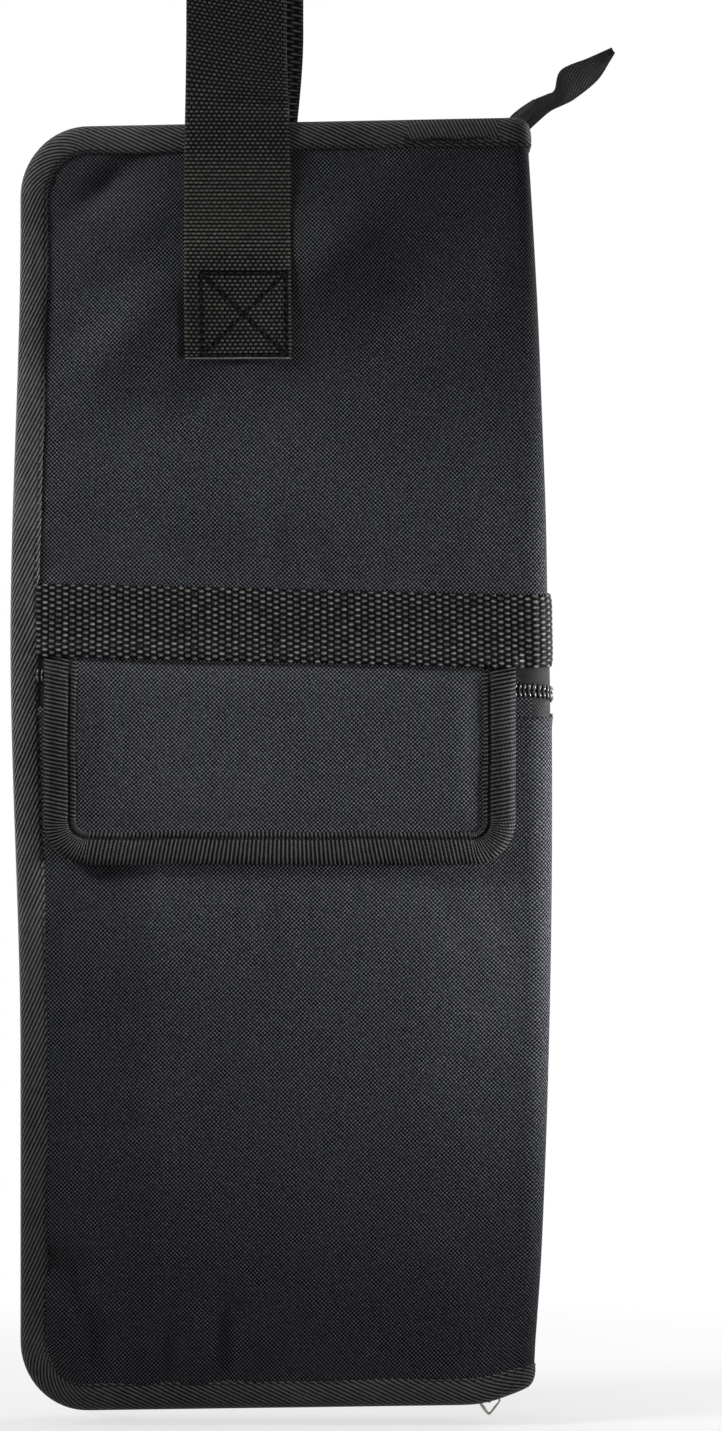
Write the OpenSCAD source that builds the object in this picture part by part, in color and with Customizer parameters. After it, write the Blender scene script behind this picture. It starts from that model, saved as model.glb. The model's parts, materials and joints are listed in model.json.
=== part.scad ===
// Drum stick bag: a padded book-style bag that hangs by a webbing loop and opens at its spine.
// Lengths are in millimetres. X runs across the bag towards the spine, -Y is the front, +Z is up.
// The origin is the hang point, under the top of the handle loop.

/* [Bag] */
// Width of the closed bag, from the zip edge to the fold at the spine
bag_w = 190; // [176:1:230]
// Height of the closed bag
bag_h = 460; // [440:1:520]
// Radius of the two corners on the zip side
corner_r = 25; // [16:1:40]

/* [Panel layers] */
// Outer fabric
shell_t = 0.8; // [0.5:0.1:1.5]
// Foam padding
foam_t = 3.6; // [2:0.1:6]
// Lining
lining_t = 0.6; // [0.4:0.1:1]

/* [Edge binding] */
// Width of the tape that shows on each face
binding_w = 10; // [8:0.5:13]
// Thickness of the tape
binding_t = 0.8; // [0.5:0.1:1.2]

/* [Stick sleeves] */
// Number of sleeves
sleeve_count = 4; // [2:1:5]
// Depth inside a sleeve
stick_room = 15; // [12:0.5:20]
// Height of the sleeves
sleeve_h = 310; // [200:1:380]
// Sleeve fabric
sleeve_t = 0.8; // [0.5:0.1:1.2]
// Width of a sewn land between sleeves
sleeve_seam = 4; // [3:0.5:8]
// Sideways run of a sleeve's pleat
sleeve_pleat = 5; // [3:0.5:8]
// Width of the tape on the sleeves' mouth
mouth_tape_w = 12; // [8:1:20]
// Free depth between the sleeves and the cover
sleeve_spare = 4.2; // [2:0.2:8]

/* [Main zip] */
// Distance from the bag's edge to the middle of the zip
zip_inset = 6; // [5:0.5:8]
// Thickness of the tape
zip_tape_t = 0.6; // [0.4:0.1:0.8]
// Width of one row of teeth
zip_row_w = 2.4; // [2:0.1:3]
// Thickness of the rows of teeth
zip_row_t = 2.4; // [1.6:0.1:3]
// Distance from the ends of the zip to the spine's lining
zip_end_gap = 4; // [3:0.5:10]
// Length of a zip stop
zip_stop_l = 2.5; // [2:0.5:4]
// Distance from the fold at the spine to the closed slider
main_slider_from_fold = 20; // [18.5:0.5:40]

/* [Sliders and rings] */
// Length of a slider
slider_l = 12; // [8:0.5:14]
// How far a slider's plates reach past the teeth on each side
slider_lip = 1.5; // [1:0.1:2.5]
// Thickness of a slider's plates
slider_plate_t = 1; // [0.8:0.1:1.4]
// Clearance between a slider and the zip
slider_play = 0.3; // [0.2:0.05:0.4]
// Gap between the two rows of teeth, where the slider's post runs
slider_slot = 1.2; // [1:0.1:1.6]
// Diameter of the ring's wire
ring_wire_d = 1.2; // [0.8:0.1:1.6]
// Width of the triangular ring between wire centres
ring_w = 9; // [7:0.5:14]
// Drop of the ring between wire centres
ring_h = 5.8; // [5:0.1:5.9]
// Radial play of the ring's wire in its eye
ring_play = 0.1; // [0.05:0.05:0.2]

/* [Handle] */
// Width of the webbing
strap_w = 38; // [25:1:45]
// Thickness of the webbing
strap_t = 1.6; // [1:0.1:2.5]
// Distance of the handle's middle from the bag's middle, towards the zip edge
handle_offset = 15; // [0:1:25]
// Distance from the bag's top edge down to the sewn ends
handle_reach = 86; // [60:1:110]
// Height of the sewn box at each end
handle_sewn = 28; // [20:1:40]
// Height of the hang point over the bag's top edge
handle_rise = 105; // [80:1:160]
// Inside radius of the bend at the top of the loop
hang_r = 8; // [5:0.5:12]

/* [Belt] */
// Width of the belt webbing
belt_w = 26; // [20:1:30]
// Thickness of the belt webbing
belt_t = 1.6; // [1:0.1:2.5]
// Height of the belt's middle over the bag's bottom edge
belt_z = 280; // [250:1:300]

/* [Outer pocket] */
// Pocket fabric
pocket_t = 1; // [0.6:0.1:1.5]
// Depth inside the front of the pocket
pocket_room = 6; // [5:0.5:12]
// Run of the slope at the pocket's sides and bottom
pocket_slope = 18; // [10:1:30]
// Run of the slope under the flap
pocket_fall = 55; // [40:1:80]
// Distance from the belt's lower edge to the middle of the zip
pocket_zip_drop = 11; // [10:0.5:16]
// Width of tape that shows beside the teeth
pocket_tape_w = 4; // [3:0.5:4.5]
// Thickness of the tape
pocket_tape_t = 0.4; // [0.3:0.1:0.6]
// Width of one row of teeth
pocket_row_w = 2.4; // [2:0.1:2.6]
// Thickness of the rows of teeth
pocket_row_t = 1.6; // [1.2:0.1:1.8]
// Distance from the back's zip edge to the slider
pocket_slider_from_edge = 30; // [24:1:100]

/* [Flap] */
// Width of the flap
flap_w = 168; // [120:1:168]
// Height of the flap
flap_h = 72; // [50:1:90]
// Radius of its lower corners
flap_r = 16; // [11:1:30]
// Outer fabric of the flap
flap_shell_t = 0.8; // [0.5:0.1:1.2]
// Padding of the flap
flap_foam_t = 1.4; // [0.8:0.1:2]
// Lining of the flap
flap_lining_t = 0.6; // [0.4:0.1:0.8]
// Width of the tape round the flap
flap_binding_w = 10; // [6:0.5:10.5]
// Thickness of the tape round the flap
flap_binding_t = 0.6; // [0.4:0.1:0.8]
// Bevel at the flap's root, measured from its inner face
flap_bevel = 20; // [15:1:30]

/* [Zip tail] */
// Thickness of the folded tape at the end of the zip
tail_t = 2.4; // [1.6:0.1:4]
// Length of the tail from its root to its tip
tail_l = 40; // [32:1:60]
// Width of the tail's blade
tail_w = 13; // [8:0.5:16]
// Width of the tail's neck
tail_neck = 6; // [4:0.5:8]
// Length of the tail's neck
tail_neck_l = 13; // [8:1:16]
// Lean of the tail from upright, towards the spine side
tail_lean = 53; // [20:1:60]

/* [Hidden] */
$fn = 48;

// Clearances: between pieces that move apart, between sewn pieces, and a cutter's overlap
fold_gap = 0.2;
lay_gap = 0.1;
cut = 1;
thin = 0.01;

// Layers of a half, as distances from the bag's middle plane
panel_t = shell_t + foam_t + lining_t;
bag_t = 2 * panel_t + stick_room + sleeve_t + sleeve_spare;
y_out = bag_t / 2;
y_foam = y_out - shell_t;
y_lining = y_foam - foam_t;
y_in = y_lining - lining_t;
y_lip = y_in - binding_t;

// Layers of the spine, and the right ends of what stands against them
x_edge = -bag_w / 2;
x_fold = bag_w / 2;
x_foam = x_fold - shell_t;
x_lining = x_foam - foam_t;
x_in = x_lining - lining_t;
x_lip = x_in - binding_t;
x_bound = x_edge + binding_w + lay_gap;
x_fold_end = x_fold - fold_gap;

// Main zip
row_out = slider_slot / 2 + zip_row_w;
zip_end = x_in - zip_end_gap;

// Sliders and rings
ring_r = ring_wire_d / 2;
eye_r = ring_r + ring_play;
ring_side_w = ring_wire_d * 1.1;
ring_side_t = ring_wire_d * 0.75;
lug_wall = 0.9;
lug_l = 1.6;
post_l = 1.5;
post_t = slider_slot - 2 * fold_gap;

// Belt, outer zip and pocket heights
belt_low = belt_z - belt_w / 2;
pz_z = belt_low - pocket_zip_drop;
pz_row_out = slider_slot / 2 + pocket_row_w;
pocket_top = pz_z - pz_row_out - pocket_tape_w;
pocket_low = binding_w + lay_gap;
back_zip_y = y_out + 2 * slider_play + slider_plate_t;
back_zip_foot = 2;
back_pocket_slope = 6;

// Flap, hinged under the belt's lower edge and lying down the pocket's slope
flap_y = -(y_out + belt_t + lay_gap);
flap_z = belt_low - fold_gap;
flap_t = flap_shell_t + flap_foam_t + flap_lining_t;
flap_low_y = y_out + pocket_room + pocket_t + 2 * fold_gap;
flap_tilt = asin((flap_low_y + flap_y) / flap_h);

// Height at which the zip's tail leans, so that its neck clears the top edge
tail_stand = tail_neck / sqrt(2) + fold_gap;

// Handle
handle_x = -handle_offset;
hang_z = bag_h + handle_rise;
bend_z = hang_z - hang_r;
strap_y = y_out + binding_t + fold_gap;
strap_end_z = bag_h - handle_reach;
strap_clear_z = bag_h - binding_w;
leg_rise = bend_z - bag_h;
leg_angle = atan2(strap_y, leg_rise) - asin(hang_r / norm([strap_y, leg_rise]));
bend_steps = 12;

// Stick sleeves, whose lower corner stays inside the rounded corner of the binding
sleeve_inset = binding_w + (corner_r - binding_w) * (1 - sqrt(1 / 2)) + 2 * lay_gap;
sleeve_x0 = x_edge + sleeve_inset;
sleeve_x1 = x_lip - fold_gap;
sleeve_pitch = (sleeve_x1 - sleeve_x0) / sleeve_count;
sleeve_z = sleeve_inset;
mouth_tape_t = 0.6;

// Finishes
fabric = [0.045, 0.047, 0.055];
tape = [0.05, 0.05, 0.05];
webbing = [0.04, 0.04, 0.04];
foam = [0.25, 0.25, 0.25];
metal = [0.55, 0.55, 0.5];

// Helpers

// Moves the bag so that its hang point is the origin
module hung() {
    translate([-handle_x, 0, -hang_z]) children();
}

// Gives a flat shape drawn in X and Z its depth, from y0 to y1
module slab(y0, y1) {
    translate([0, y1, 0]) rotate([90, 0, 0]) linear_extrude(y1 - y0) children();
}

// Runs a profile drawn in Y and Z along X, from x0 to x1
module run(x0, x1) {
    translate([x0, 0, 0]) rotate([90, 0, 90]) linear_extrude(x1 - x0) children();
}

// A box between two corners
module block(low, high) {
    translate(low) cube(high - low);
}

// The front, drawn as the back's mirror image
module front() {
    mirror([0, 1, 0]) children();
}

// Outline of a half in X and Z, drawn in by inset on its three sewn sides
module outline(inset, right) {
    r = corner_r - inset;
    low = inset;
    high = bag_h - inset;
    left = x_edge + inset;
    translate([left + r, low]) square([right - left - r, high - low]);
    translate([left, low + r]) square([r, high - low - 2 * r]);
    for (z = [low + r, high - r]) translate([left + r, z]) circle(r);
}

// Band that follows the three sewn sides
module band(outer, inner, right) {
    difference() {
        outline(outer, right);
        outline(inner, right + cut);
    }
}

// One half: padded panel, its binding and its side of the zip, drawn for the back

module half_shell() {
    color(fabric) slab(y_foam, y_out) outline(binding_t, x_foam - fold_gap);
}

module half_padding() {
    color(foam) slab(y_lining, y_foam) outline(binding_t, x_lining - fold_gap);
}

module half_lining() {
    color(fabric) slab(y_in, y_lining) outline(binding_t, x_in - fold_gap);
}

module half_binding() {
    color(tape) union() {
        difference() {
            slab(y_lip, y_out) band(0, binding_w, x_in - fold_gap);
            slab(y_in, y_out + cut) outline(binding_t, x_fold);
        }
        slab(y_out, y_out + binding_t) band(0, binding_w, x_fold_end);
    }
}

module half_zip_tape() {
    color(tape) slab(row_out, y_lip) band(zip_inset - zip_tape_t / 2, zip_inset + zip_tape_t / 2, zip_end);
}

module half_zip_teeth() {
    color(tape) slab(slider_slot / 2, row_out)
        band(zip_inset - zip_row_t / 2, zip_inset + zip_row_t / 2, zip_end - zip_stop_l);
}

module half_zip_stops() {
    color(metal) for (z = [zip_inset, bag_h - zip_inset])
        block([zip_end - zip_stop_l, slider_slot / 2, z - zip_row_t / 2], [zip_end, row_out, z + zip_row_t / 2]);
}

module half_belt() {
    color(webbing) block([x_bound, y_out, belt_low], [x_fold_end, y_out + belt_t, belt_low + belt_w]);
}

// Handle: two halves of one webbing loop that meet over the hang point, drawn for the back

// Points round the top of the loop, from the tangent of the leg to the middle of the loop
function bend_at(r, angle) = [r * cos(angle), bend_z + r * sin(angle)];
function bend_stop(r) = acos(fold_gap / 2 / r);
function bend(r) = [
    for (k = [0 : bend_steps]) bend_at(r, leg_angle + (bend_stop(r) - leg_angle) * k / bend_steps)
];
function backwards(p) = [for (k = [len(p) - 1 : -1 : 0]) p[k]];

module strap_profile() {
    leg = [
        [y_out, strap_end_z],
        [y_out, strap_end_z + handle_sewn],
        [strap_y, strap_clear_z],
        [strap_y, bag_h]
    ];
    leg_outer = [for (p = leg) p + [strap_t, 0]];
    polygon(concat(leg, bend(hang_r), backwards(bend(hang_r + strap_t)), backwards(leg_outer)));
}

module half_handle() {
    color(webbing) run(handle_x - strap_w / 2, handle_x + strap_w / 2) strap_profile();
}

// Back half

// Cuts a panel that lies on a half to the rounded inner edge of the binding
module within_binding() {
    intersection() {
        children();
        slab(y_out - cut, 2 * y_out) outline(binding_w + lay_gap, x_fold);
    }
}

module back_pocket_panel() {
    right = x_fold_end;
    y0 = y_out;
    y1 = back_zip_y + pocket_t;
    s = back_pocket_slope;
    color(fabric) within_binding() difference() {
        hull() {
            block([x_bound, y0, pocket_low], [right, y0 + thin, pocket_top]);
            block([x_bound + s, y1 - thin, pocket_low + s], [right - s, y1, pocket_top]);
        }
        hull() {
            block([x_bound + pocket_t, y0 - cut, pocket_low + pocket_t], [right - pocket_t, y0, pocket_top + cut]);
            block([x_bound + s + pocket_t, back_zip_y - thin, pocket_low + s + pocket_t],
                  [right - s - pocket_t, back_zip_y, pocket_top + cut]);
        }
    }
}

module back_pocket_zip_tape() {
    y0 = back_zip_y;
    y1 = back_zip_y + pocket_tape_t;
    color(tape) {
        block([x_bound, y0, pocket_top], [x_fold_end, y1, pz_z - pz_row_out]);
        run(x_bound, x_fold_end) polygon([
            [y_out, belt_low - lay_gap],
            [y1, belt_low - lay_gap],
            [y1, pz_z + pz_row_out],
            [y0, pz_z + pz_row_out],
            [y0, belt_low - back_zip_foot],
            [y_out, belt_low - back_zip_foot]
        ]);
    }
}

module zip_rows_across(x0, x1, y0) {
    for (z = [pz_z - pz_row_out, pz_z + slider_slot / 2])
        block([x0, y0, z], [x1, y0 + pocket_row_t, z + pocket_row_w]);
}

module back_pocket_zip_teeth() {
    color(tape) zip_rows_across(x_bound, x_fold_end, back_zip_y);
}

// Pleated profile of the sleeves in X and Y, thickened outwards by extra
module sleeve_profile(extra) {
    y_land = y_in - extra;
    for (i = [0 : sleeve_count - 1]) {
        a = sleeve_x0 + i * sleeve_pitch + sleeve_seam / 2;
        b = sleeve_x0 + (i + 1) * sleeve_pitch - sleeve_seam / 2;
        polygon([
            [a - extra, y_in],
            [a - extra, y_land],
            [a + sleeve_pleat - extra, y_land - stick_room],
            [b - sleeve_pleat + extra, y_land - stick_room],
            [b + extra, y_land],
            [b + extra, y_in]
        ]);
    }
    translate([sleeve_x0, y_land]) square([sleeve_x1 - sleeve_x0, extra]);
}

module stick_sleeves() {
    color(fabric) translate([0, 0, sleeve_z]) {
        linear_extrude(sleeve_h) difference() {
            sleeve_profile(sleeve_t);
            sleeve_room();
        }
        linear_extrude(sleeve_t) sleeve_profile(sleeve_t);
    }
}

// Inside of the sleeves in X and Y
module sleeve_room() {
    for (i = [0 : sleeve_count - 1]) {
        a = sleeve_x0 + i * sleeve_pitch + sleeve_seam / 2;
        b = sleeve_x0 + (i + 1) * sleeve_pitch - sleeve_seam / 2;
        polygon([
            [a, y_in + cut],
            [a, y_in],
            [a + sleeve_pleat, y_in - stick_room],
            [b - sleeve_pleat, y_in - stick_room],
            [b, y_in],
            [b, y_in + cut]
        ]);
    }
}

module sleeve_mouth_tape() {
    color(tape) translate([0, 0, sleeve_z + sleeve_h - mouth_tape_w]) linear_extrude(mouth_tape_w) difference() {
        sleeve_profile(sleeve_t + mouth_tape_t);
        sleeve_profile(sleeve_t);
        translate([x_edge, y_in - sleeve_t]) square([bag_w, y_out]);
    }
}

// Spine

module spine_shell() {
    color(fabric) block([x_foam, -y_out, binding_t], [x_fold, y_out, bag_h - binding_t]);
}

module spine_padding() {
    y = y_foam - fold_gap;
    color(foam) block([x_lining, -y, binding_t], [x_foam, y, bag_h - binding_t]);
}

module spine_lining() {
    y = y_lining - fold_gap;
    color(fabric) block([x_in, -y, binding_t], [x_lining, y, bag_h - binding_t]);
}

module spine_binding() {
    y_inner = y_lip - fold_gap;
    y_web = y_foam - fold_gap;
    color(tape) for (top = [0, 1]) translate([0, 0, top * bag_h]) mirror([0, 0, top]) {
        block([x_in, -y_web, 0], [x_fold + binding_t, y_web, binding_t]);
        block([x_fold, -y_out, 0], [x_fold + binding_t, y_out, binding_w]);
        block([x_lip, -y_inner, 0], [x_in, y_inner, binding_w]);
    }
}

module spine_belt() {
    color(webbing) block([x_fold, -y_out, belt_low], [x_fold + belt_t, y_out, belt_low + belt_w]);
}

module spine_pocket_panel() {
    color(fabric) block([x_fold, -y_out, pocket_low], [x_fold + pocket_t, y_out, pocket_top]);
}

module spine_pocket_zip_tape() {
    color(tape) for (z = [pocket_top, pz_z + pz_row_out])
        block([x_fold, -y_out, z], [x_fold + pocket_tape_t, y_out, z + pocket_tape_w]);
}

module spine_pocket_zip_teeth() {
    color(tape) for (z = [pz_z - pz_row_out, pz_z + slider_slot / 2])
        block([x_fold, -y_out, z], [x_fold + pocket_row_t, y_out, z + pocket_row_w]);
}

// Folded tape at the start of the zip: a root beside the spine's lining and a leaning blade on a neck
module zip_tail() {
    root_w = zip_end_gap - binding_t - 2 * fold_gap;
    root_x = x_lip - root_w;
    neck = tail_neck / 2;
    blade = tail_w / 2;
    blade_z = tail_neck_l + blade;
    color(tape) slab(-tail_t / 2, tail_t / 2) {
        translate([root_x, bag_h - binding_w]) square([root_w, binding_w + tail_stand]);
        translate([root_x + root_w / 2, bag_h + tail_stand]) rotate(-tail_lean) polygon([
            [-neck, -neck],
            [neck, -neck],
            [neck, tail_neck_l],
            [blade, blade_z],
            [blade / 2, tail_l],
            [-blade, tail_l - blade],
            [-blade, blade_z],
            [-neck, tail_neck_l]
        ]);
    }
}

// Front of the bag

module front_pocket_panel() {
    y0 = y_out;
    y1 = y_out + pocket_room + pocket_t;
    s = pocket_slope;
    right = x_fold_end;
    color(fabric) front() within_binding() difference() {
        hull() {
            block([x_bound, y0, pocket_low], [right, y0 + thin, pocket_top]);
            block([x_bound + s, y1 - thin, pocket_low + s], [right - s, y1, pocket_top - pocket_fall]);
        }
        hull() {
            block([x_bound + pocket_t, y0 - cut, pocket_low + pocket_t],
                  [right - pocket_t, y0, pocket_top - 2 * pocket_t]);
            block([x_bound + s + pocket_t, y1 - pocket_t - thin, pocket_low + s + pocket_t],
                  [right - s - pocket_t, y1 - pocket_t, pocket_top - pocket_fall - pocket_t]);
        }
    }
}

module front_pocket_zip_tape() {
    y1 = y_out + pocket_tape_t;
    color(tape) front() {
        block([x_bound, y_out, pocket_top], [x_fold_end, y1, pz_z - pz_row_out]);
        block([x_bound, y_out, pz_z + pz_row_out], [x_fold_end, y1, belt_low - lay_gap]);
    }
}

module front_pocket_zip_teeth() {
    color(tape) front() zip_rows_across(x_bound, x_fold_end, y_out);
}

// Flap, drawn at its hinge line with its inner face towards +Y

module flap_outline(inset) {
    r = flap_r - inset;
    half = flap_w / 2 - inset;
    low = inset - flap_h;
    translate([-half, low + r]) square([2 * half, -low - r]);
    translate([-half + r, low]) square([2 * (half - r), r]);
    for (x = [-half + r, half - r]) translate([x, low + r]) circle(r);
}

module flap_place() {
    deep = 2 * flap_h;
    root_y = deep * tan(flap_bevel);
    translate([0, flap_y, flap_z]) rotate([-flap_tilt, 0, 0]) intersection() {
        children();
        run(-bag_w, bag_w) polygon([[0, 0], [-root_y, -deep], [cut, -deep], [cut, 0]]);
    }
}

module flap_panel() {
    color(fabric) flap_place() slab(-flap_t, -flap_t + flap_shell_t) flap_outline(flap_binding_t);
}

module flap_padding() {
    color(foam) flap_place() slab(-flap_t + flap_shell_t, -flap_lining_t) flap_outline(flap_binding_t);
}

module flap_lining() {
    color(fabric) flap_place() slab(-flap_lining_t, 0) flap_outline(flap_binding_w);
}

module flap_band(inner) {
    difference() {
        flap_outline(0);
        flap_outline(inner);
        translate([inner - flap_w / 2, -inner]) square([flap_w - 2 * inner, 2 * inner]);
    }
}

module flap_binding() {
    color(tape) flap_place() {
        slab(-flap_lining_t, 0) flap_band(flap_binding_w);
        slab(-flap_t - flap_binding_t, 0) flap_band(flap_binding_t);
        slab(-flap_t - flap_binding_t, -flap_t) flap_band(flap_binding_w);
    }
}

// Sliders: two plates and a post round the teeth, and a lug with an eye on the outer plate.
// Drawn with the zip along X, the rows side by side in Y and the outside towards -Z.

function lug_drop(row_t) = row_t / 2 + slider_play + slider_plate_t + eye_r + lug_wall / 2;

module zip_slider(row_w, row_t) {
    half_w = slider_slot / 2 + row_w + slider_lip;
    near = row_t / 2 + slider_play;
    far = near + slider_plate_t;
    eye_z = -lug_drop(row_t);
    lug_w = eye_r + lug_wall;
    color(metal) difference() {
        union() {
            block([-slider_l / 2, -half_w, -far], [slider_l / 2, half_w, -near]);
            block([-slider_l / 2, -half_w, near], [slider_l / 2, half_w, far]);
            block([slider_l / 2 - post_l, -post_t / 2, -near], [slider_l / 2, post_t / 2, near]);
            block([-lug_l / 2, -lug_w, eye_z], [lug_l / 2, lug_w, -far]);
            translate([-lug_l / 2, 0, eye_z]) rotate([0, 90, 0]) cylinder(r = lug_w, h = lug_l);
        }
        translate([-slider_l, 0, eye_z]) rotate([0, 90, 0]) cylinder(r = eye_r, h = 2 * slider_l);
    }
}

// Triangular ring that hangs from the origin: a round bar through the eye, and two flattened sides.
// The sides are drawn in X and Z, half a width to each side of their middle lines.
module pull_ring() {
    half = ring_w / 2;
    side = ring_side_w / 2 / sin(atan2(ring_h, half));
    top = ring_r / 2;
    top_x = half * (1 + top / ring_h);
    color(metal) union() {
        translate([-half, 0, 0]) rotate([0, 90, 0]) cylinder(r = ring_r, h = ring_w);
        slab(-ring_side_t / 2, ring_side_t / 2) polygon([
            [-top_x - side, top],
            [-top_x + side, top],
            [0, ring_h * (side / half - 1)],
            [top_x - side, top],
            [top_x + side, top],
            [0, -ring_h * (side / half + 1)]
        ]);
    }
}

module at_main_slider() {
    translate([x_fold - main_slider_from_fold, 0, zip_inset]) children();
}

module at_pocket_slider() {
    translate([x_edge + pocket_slider_from_edge, back_zip_y + pocket_row_t / 2, pz_z]) children();
}

module main_slider() {
    at_main_slider() zip_slider(zip_row_w, zip_row_t);
}

module main_pull_ring() {
    at_main_slider() translate([0, 0, -lug_drop(zip_row_t)]) pull_ring();
}

module pocket_slider() {
    at_pocket_slider() rotate([90, 0, 0]) mirror([1, 0, 0]) zip_slider(pocket_row_w, pocket_row_t);
}

module pocket_pull_ring() {
    at_pocket_slider() translate([0, lug_drop(pocket_row_t), 0]) pull_ring();
}

// Back half
hung() half_shell();  // back_shell
hung() half_padding();  // back_padding
hung() half_lining();  // back_lining
hung() half_binding();  // back_binding
hung() half_zip_tape();  // back_zip_tape
hung() half_zip_teeth();  // back_zip_teeth
hung() half_zip_stops();  // back_zip_stops
hung() half_belt();  // back_belt
hung() back_pocket_panel();
hung() back_pocket_zip_tape();
hung() back_pocket_zip_teeth();
hung() stick_sleeves();
hung() sleeve_mouth_tape();
hung() half_handle();  // handle_rear_half
// Spine
hung() spine_shell();
hung() spine_padding();
hung() spine_lining();
hung() spine_binding();
hung() spine_belt();
hung() spine_pocket_panel();
hung() spine_pocket_zip_tape();
hung() spine_pocket_zip_teeth();
hung() zip_tail();
// Cover
hung() front() half_shell();  // cover_shell
hung() front() half_padding();  // cover_padding
hung() front() half_lining();  // cover_lining
hung() front() half_binding();  // cover_binding
hung() front() half_zip_tape();  // cover_zip_tape
hung() front() half_zip_teeth();  // cover_zip_teeth
hung() front() half_zip_stops();  // cover_zip_stops
hung() front() half_belt();  // front_belt
hung() front_pocket_panel();
hung() front_pocket_zip_tape();
hung() front_pocket_zip_teeth();
hung() front() half_handle();  // handle_front_half
// Flap
hung() flap_panel();
hung() flap_padding();
hung() flap_lining();
hung() flap_binding();
// Zip pulls
hung() main_slider();
hung() main_pull_ring();
hung() pocket_slider();
hung() pocket_pull_ring();
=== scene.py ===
# %% [markdown]
# A padded drum stick bag
#
# The bag opens like a book. Two padded halves are joined by a spine on the right, and a zip runs round
# the other three sides. The frame below is the measured construction of that bag. It sets every size and
# every joint, and this lesson dresses it: cloth, tape, webbing, coils, thread and wire.

# %% Load the frame
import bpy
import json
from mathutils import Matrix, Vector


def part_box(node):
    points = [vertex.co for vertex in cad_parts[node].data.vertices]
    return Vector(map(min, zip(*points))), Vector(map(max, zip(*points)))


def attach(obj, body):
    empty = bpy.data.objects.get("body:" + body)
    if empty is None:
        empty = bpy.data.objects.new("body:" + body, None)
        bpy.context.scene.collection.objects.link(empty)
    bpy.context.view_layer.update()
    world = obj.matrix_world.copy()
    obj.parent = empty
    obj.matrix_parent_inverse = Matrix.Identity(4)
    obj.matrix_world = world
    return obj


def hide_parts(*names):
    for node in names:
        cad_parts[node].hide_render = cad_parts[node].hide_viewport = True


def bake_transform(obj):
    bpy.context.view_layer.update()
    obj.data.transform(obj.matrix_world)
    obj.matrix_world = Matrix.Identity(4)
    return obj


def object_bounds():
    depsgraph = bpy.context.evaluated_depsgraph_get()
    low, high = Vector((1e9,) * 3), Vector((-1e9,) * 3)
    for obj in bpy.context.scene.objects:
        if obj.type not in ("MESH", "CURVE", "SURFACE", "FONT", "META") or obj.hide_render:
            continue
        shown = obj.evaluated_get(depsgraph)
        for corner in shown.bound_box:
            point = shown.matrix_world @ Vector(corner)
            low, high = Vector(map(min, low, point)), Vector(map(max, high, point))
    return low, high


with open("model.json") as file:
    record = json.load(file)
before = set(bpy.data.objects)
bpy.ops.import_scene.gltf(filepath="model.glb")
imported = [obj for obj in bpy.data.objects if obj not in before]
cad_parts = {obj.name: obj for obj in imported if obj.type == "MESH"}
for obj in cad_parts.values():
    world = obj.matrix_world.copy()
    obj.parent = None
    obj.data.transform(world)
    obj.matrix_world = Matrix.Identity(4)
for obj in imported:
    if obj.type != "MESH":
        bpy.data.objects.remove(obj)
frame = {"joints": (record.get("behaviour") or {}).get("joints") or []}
frame_box = [list(corner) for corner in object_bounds()]

import json
import math

import bpy
import numpy as np
from mathutils import Vector

# %% [markdown]
# The sizes that everything hangs on
#
# A sewn piece is cut to fit its neighbour, so we measure the solids instead of typing their sizes again.
# X runs across the bag towards the spine, the front faces -Y, and Z is up.

# %% Measure the frame
MM = 0.001
EDGE_X, _, LOW_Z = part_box("cover_binding")[0]
TOP_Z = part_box("cover_binding")[1].z
FOLD_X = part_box("spine_shell")[1].x
FACE_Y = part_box("back_shell")[1].y
PANEL_T = FACE_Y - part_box("back_lining")[0].y
BELT_X, _, BELT_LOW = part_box("front_belt")[0]
BELT_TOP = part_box("front_belt")[1].z
BELT_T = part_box("front_belt")[1].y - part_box("front_belt")[0].y
BINDING_W = BELT_X - EDGE_X
POCKET_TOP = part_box("front_pocket_panel")[1].z
POCKET_ZIP_Z = (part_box("front_pocket_zip_teeth")[0].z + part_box("front_pocket_zip_teeth")[1].z) / 2
BACK_ZIP_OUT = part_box("back_pocket_zip_teeth")[0].y - FACE_Y
CORNER_R = 25 * MM
FRONT, BACK = -1, 1
print("bag", round((FOLD_X - EDGE_X) / MM), "by", round((TOP_Z - LOW_Z) / MM), "mm")

# %% [markdown]
# Cloth round a corner
#
# The outer cloth, the belt and the pocket zip all run across a face, turn the corner at the spine and meet
# in the middle of the spine. Bending each one by hand would never match. Instead we draw every layer flat,
# as a distance u from the zip edge and a height z, and one function wraps it round the bag. A layer's
# own height above the cloth is its out.

# %% Wrap a flat layer round the bag
FOLD_R = 7 * MM
FLAT_U = FOLD_X - FOLD_R - EDGE_X
TURN_U = FLAT_U + FOLD_R * math.pi / 2
MID_U = TURN_U + FACE_Y - FOLD_R


def ease(t):
    """Goes from 0 to 1 with a soft start and a soft stop."""
    t = np.clip(t, 0, 1)
    return t * t * (3 - 2 * t)


WAIST_Z = -290 * MM
BULGE_Z = -347 * MM
LEFT_DRAW = 3.6 * MM
LEFT_SWELL = 1.1 * MM
DRAW_RUN = 150 * MM
RIGHT_SWELL = 1.3 * MM
RIGHT_DRAW = 0.14
TOP_TILT, TOP_LEVEL_X = 0.020, 35 * MM
BOTTOM_TILT, BOTTOM_LEVEL_X = 0.014, -60 * MM
HEEL_X, HEEL_RUN = 76 * MM, 30 * MM
HEEL_H, HEEL_RISE = 70 * MM, 5.5 * MM


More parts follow.
